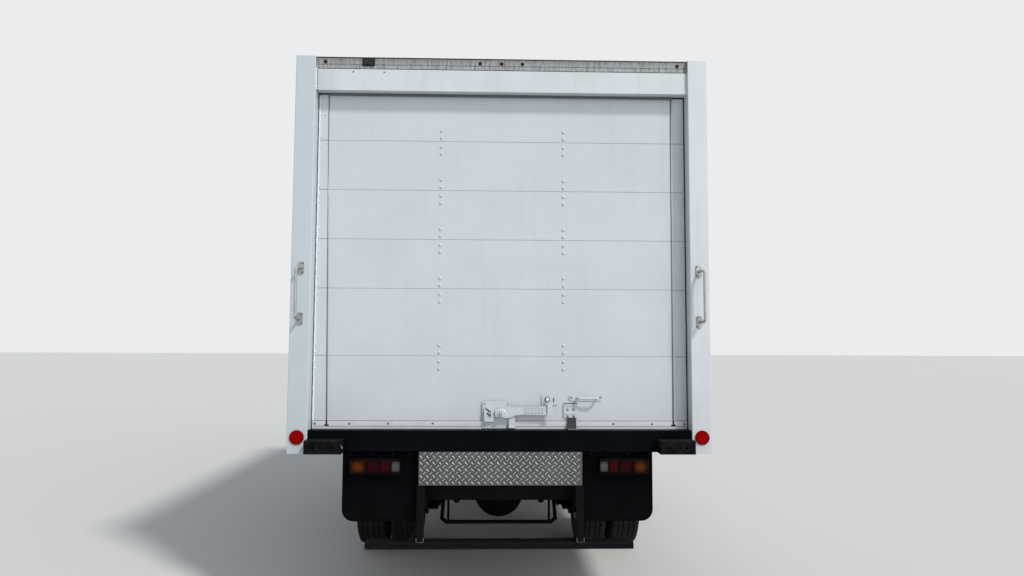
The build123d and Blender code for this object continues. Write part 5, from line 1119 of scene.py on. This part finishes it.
for side, word in both_sides:
    angles = [math.pi * k / 16 for k in range(32)]
    circle = [(side * fog_x + fog_radius * math.cos(a), fog_z + fog_radius * math.sin(a)) for a in angles]
    outline = [Vector(c) for c in circle]
    name = f"bumper_lamp_{word}"
    bumper_lamp = crowned_plate(name, fog_lens, outline, -fog_face_y, 0.006, 0.003, "chassis")
    bumper_lamp.data.transform(Matrix.Rotation(math.pi, 4, "Z") @ Matrix.Translation((-2 * side * fog_x, 0, 0)))

# Seats: foam cushions and backs in dark woven cloth, on moulded bases screwed to the cab floor.
# The cloth is sewn down in channels, with a welt around each face.
seat_cloth, weave, weave_shader = blank("seat_cloth")
weave_place = object_place(weave)
threads = maths(weave, "MULTIPLY", waves(weave, weave_place, 160.0, "X"), waves(weave, weave_place, 160.0, "Y"))
fade = mixed(weave, noise(weave, weave_place, 4.0, 5.0), (0.030, 0.033, 0.040, 1), (0.060, 0.062, 0.070, 1))
weave.links.new(mixed(weave, threads, fade, (0.10, 0.10, 0.11, 1)), weave_shader["Base Color"])
embossed(weave, weave_shader, threads, 0.0006)
weave_shader["Roughness"].default_value = 0.9
weave_shader["Sheen Weight"].default_value = 0.4
dress(seat_cloth, "seats")
seam_thread = coated(
    "seam_piping", 0.0002, (0.012, 0.012, 0.014), ((0.03, 0.03, 0.033), 0.6, 0.02), rough=0.6, grain=0.001,
)


def near_seam(x, y, across, along):
    """The distance from a point of a pad's face to the nearest sewn channel."""
    lines = [abs(y - line) for line in across] + [abs(x - line) for line in along]
    return min(lines) if lines else 1.0


def stuffed(name, place, width, length, depth, across, along):
    """A foam pad in cloth: its own x across, y along and z out of the face, laid down by a matrix.

    It starts smaller than its room, swells by a cloth simulation between its pinned seams, and stays in that room.
    """
    inset, most_swell, clearance, edge_round, voxel = 0.012, 0.020, 0.0015, 0.026, 0.012
    seam_depth, seam_width, swell_frames = 0.012, 0.013, 20
    top = depth - most_swell
    build = bmesh.new()
    size = Matrix.Diagonal((width - 2 * inset, length - 2 * inset, top, 1))
    bmesh.ops.create_cube(build, size=1, matrix=Matrix.Translation((0, length / 2, top / 2)) @ size)
    bmesh.ops.bevel(build, geom=build.edges[:], offset=edge_round, segments=4, affect="EDGES", profile=0.5)
    shape = bpy.data.meshes.new(name)
    build.to_mesh(shape)
    build.free()
    pad = bpy.data.objects.new(name, shape)
    scene.collection.objects.link(pad)
    remesh = pad.modifiers.new("even", "REMESH")
    remesh.mode = "VOXEL"
    remesh.voxel_size = voxel
    flat = settled(pad)
    half = width / 2 - inset
    pins = pad.vertex_groups.new(name="pins")
    pinned = []
    for vertex in flat.vertices:
        x, y, z = vertex.co
        seam = near_seam(x, y, across, along)
        face_share = max(0.0, min(1.0, (z - 0.6 * top) / (0.3 * top)))
        vertex.co.z -= seam_depth * face_share * math.exp(-((seam / seam_width) ** 2))
        edge = min(half - abs(x), y - inset, length - inset - y)
        on_welt = edge < 0.010 and abs(z - (top - 0.010)) < 0.008
        if z < 0.008 or (seam < 0.008 and z > 0.7 * top) or on_welt:
            pinned.append(vertex.index)
    pins.add(pinned, 1.0, "REPLACE")
    start = [vertex.co.copy() for vertex in flat.vertices]
    cloth = pad.modifiers.new("swell", "CLOTH")
    stretch = {"quality": 5, "mass": 0.3, "tension_stiffness": 12, "compression_stiffness": 12}
    bend = {"shear_stiffness": 4, "bending_stiffness": 0.4}
    swell = {"use_pressure": True, "uniform_pressure_force": 4.0, "vertex_group_mass": "pins"}
    for key, value in {**stretch, **bend, **swell}.items():
        setattr(cloth.settings, key, value)
    cloth.settings.effector_weights.gravity = 0.0
    cloth.collision_settings.use_collision = False
    cloth.point_cache.frame_start = 1
    cloth.point_cache.frame_end = swell_frames
    for frame_number in range(1, swell_frames + 1):
        scene.frame_set(frame_number)
    swollen = settled(pad)
    scene.frame_set(1)
    for vertex, first in zip(swollen.vertices, start):
        move = vertex.co - first
        if move.length > most_swell:
            move.length = most_swell
        vertex.co = first + move
    room = width / 2 - clearance
    for vertex in pad.data.vertices:
        vertex.co.x = max(-room, min(room, vertex.co.x))
        vertex.co.y = max(clearance, min(length - clearance, vertex.co.y))
        vertex.co.z = max(0.0, min(depth - clearance, vertex.co.z))
    smooth = pad.modifiers.new("smooth", "SUBSURF")
    smooth.levels = 1
    finer = settled(pad)
    pad.vertex_groups.clear()
    finer.transform(place)
    finer.materials.clear()
    finer.materials.append(seat_cloth)
    carried(pad, "cab", True)
    near, far, wide = inset + 0.004, length - inset - 0.004, half - 0.004
    outline = rounded([(-wide, near), (wide, near), (wide, far), (-wide, far)], 0.028)
    welt = [place @ Vector((q.x, q.y, top - 0.006)) for q in outline]
    tube(f"{name}_welt", seam_thread, [welt], 0.0045, body="cab", closed=True)


# Moulded seat bases carry the cushions; the cushions fill the rest of the solids' room up to the backs.
seat_foot, seat_top, seat_front, seat_rear = 1.0153, 1.190, 2.190, 1.690
base_top, back_depth = 1.070, 0.086
back_foot, back_head = Vector((0, 1.734, 1.1903)), Vector((0, 1.600, 1.850))
back_up = (back_head - back_foot).normalized()
back_out = Vector((0, back_up.z, -back_up.y))
# columns: name, middle, half width, sewn lines along the seat
seat_table = [("driver", -0.480, 0.250, (-0.135, 0.135)), ("bench", 0.420, 0.450, (-0.33, -0.12, 0.0, 0.12, 0.33))]
bases = []
for word, middle, half_width, along in seat_table:
    left, right = middle - half_width, middle + half_width
    back, front = seat_rear + 0.03, seat_front - 0.10
    bases.append(((left + 0.01, seat_rear + 0.01, seat_foot), (right - 0.01, seat_front - 0.012, base_top - 0.001)))
    for low_x, high_x in ((left + 0.002, left + 0.012), (right - 0.012, right - 0.002)):
        bases.append(((low_x, back, seat_foot + 0.02), (high_x, front, base_top + 0.035)))
    lay = Matrix.Translation((middle, seat_rear, base_top))
    width, depth = 2 * half_width, seat_top - base_top
    stuffed(f"{word}_cushion", lay, width, seat_front - seat_rear, depth, (0.13, 0.25, 0.37), along)
    stand = Matrix.Identity(4)
    stand.col[0] = (-1, 0, 0, 0)
    stand.col[1] = (*back_up, 0)
    stand.col[2] = (*back_out, 0)
    stand.col[3] = (middle, *(back_foot - back_depth * back_out)[1:], 1)
    length = (back_head - back_foot).length - 0.004
    stuffed(f"{word}_back", stand, width, length, back_depth, (0.14, 0.28, 0.42, 0.53), along)
blocks("seat_bases", cabin_grey, bases, 0.006, body="cab")
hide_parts("seats")

# Wheels: black rubber tyres with a rib tread on white pressed-steel discs.
# The discs are held by six nuts each, single in front and twin behind.
tyre_rubber = coated(
    "tyre_rubber", 0.0004, (0.006, 0.006, 0.0065), ((0.014, 0.0135, 0.013), 0.7, 0.12),
    dirt=((0.05, 0.045, 0.038), 0.3, 0.0, 0.5), specks=0.2, rough=0.7, grain=0.002, shine=0.08,
)
# Each tyre is a closed ring of tread ribs with zigzag grooves, notched shoulders and stepped sidewalls.
# columns: distance from the tyre's middle plane, radius, share of the zigzag, depth of the shoulder notch
tread_half = [
    (0.0000, 0.3860, 0, 0),
    (0.0175, 0.3858, 1, 0),
    (0.0195, 0.3750, 1, 0),
    (0.0255, 0.3750, 1, 0),
    (0.0275, 0.3854, 1, 0),
    (0.0505, 0.3846, -1, 0),
    (0.0525, 0.3742, -1, 0),
    (0.0585, 0.3742, -1, 0),
    (0.0605, 0.3838, -1, 0),
    (0.0780, 0.3825, 0, 0),
    (0.0830, 0.3815, 0, 0.0060),
    (0.0925, 0.3790, 0, 0.0070),
    (0.0970, 0.3735, 0, 0.0060),
    (0.0990, 0.3640, 0, 0.0020),
    (0.1000, 0.3540, 0, 0),
    (0.1022, 0.3500, 0, 0),
    (0.1022, 0.3450, 0, 0),
    (0.1040, 0.3400, 0, 0),
    (0.1072, 0.3150, 0, 0),
    (0.1078, 0.2900, 0, 0),
    (0.1062, 0.2650, 0, 0),
    (0.1030, 0.2450, 0, 0),
    (0.1030, 0.2410, 0, 0),
    (0.0985, 0.2360, 0, 0),
    (0.0940, 0.2200, 0, 0),
    (0.0925, 0.2160, 0, 0),
    (0.0890, 0.2090, 0, 0),
    (0.0860, 0.2034, 0, 0),
]
zigzag = [0.0, 0.0030, 0.0, -0.0030]
tread_steps = 192


def tyre(build, middle_x, axle_y):
    """One closed tyre added to a bmesh."""
    section = [(-x, r, share, notch, -1) for x, r, share, notch in tread_half[:0:-1]]
    section += [(x, r, share, notch, 1) for x, r, share, notch in tread_half]
    rings = []
    for step in range(tread_steps):
        angle = 2 * math.pi * step / tread_steps
        ring = []
        for x, r, share, notch, side in section:
            shift = zigzag[(step + (2 if side < 0 else 0)) % 4] * share
            radius = r - (notch if (step + (1 if side < 0 else 0)) % 4 == 0 else 0)
            y, z = axle_y + radius * math.cos(angle), axle_z + radius * math.sin(angle)
            ring.append(build.verts.new((middle_x + x + shift, y, z)))
        rings.append(ring)
    skinned(build, rings, closed=True)


tyre_table = [
    ("front_right_wheel", "tyre_front_right", front_axle_y, (0.833,)),
    ("front_left_wheel", "tyre_front_left", front_axle_y, (-0.833,)),
    ("rear_right_wheels", "tyres_rear_right", rear_axle_y, (0.950, 0.700)),
    ("rear_left_wheels", "tyres_rear_left", rear_axle_y, (-0.950, -0.700)),
]
for body, replaced, axle_y, middles in tyre_table:
    build = bmesh.new()
    for middle_x in middles:
        tyre(build, middle_x, axle_y)
    piece = finished(f"{replaced}_treaded", tyre_rubber, build, body)
    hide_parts(replaced)
rim_white = coated(
    "rim_white", 0.0003, (0.52, 0.52, 0.51), ((0.40, 0.38, 0.35), 0.6, 0.08),
    dirt=((0.17, 0.11, 0.07), 0.6, 0.1, 0.8), specks=0.3, rough=0.45, grain=0.003,
)
dress(rim_white, "rim_front_right", "rim_front_left", "rims_rear_right", "rims_rear_left")
# Wheel nuts on the discs, and flange bolts on the rear hubs, all zinc plated.
# columns: body, axle, face of the disc or hub, radius of the circle, count, head radius, head height
wheel_table = [
    ("front_{}_wheel", front_axle_y, 0.870, 0.094, 6, 0.0165, 0.019),
    ("rear_{}_wheels", rear_axle_y, 0.835, 0.1015, 6, 0.0170, 0.024),
    ("rear_{}_wheels", rear_axle_y, 0.933, 0.074, 8, 0.0080, 0.007),
]
for body_name, axle_y, face_x, circle, count, head_radius, height in wheel_table:
    for side, word in both_sides[::-1]:
        body = body_name.format(word)
        angles = [2 * math.pi * (k + 0.5) / count for k in range(count)]
        places = [(side * face_x, axle_y + circle * math.cos(a), axle_z + circle * math.sin(a)) for a in angles]
        fasteners(
            f"{body}_nuts_{count}", zinc_nut, head_radius, height, places, 6,
            domed=False, facing=(side, 0, 0), body=body,
        )
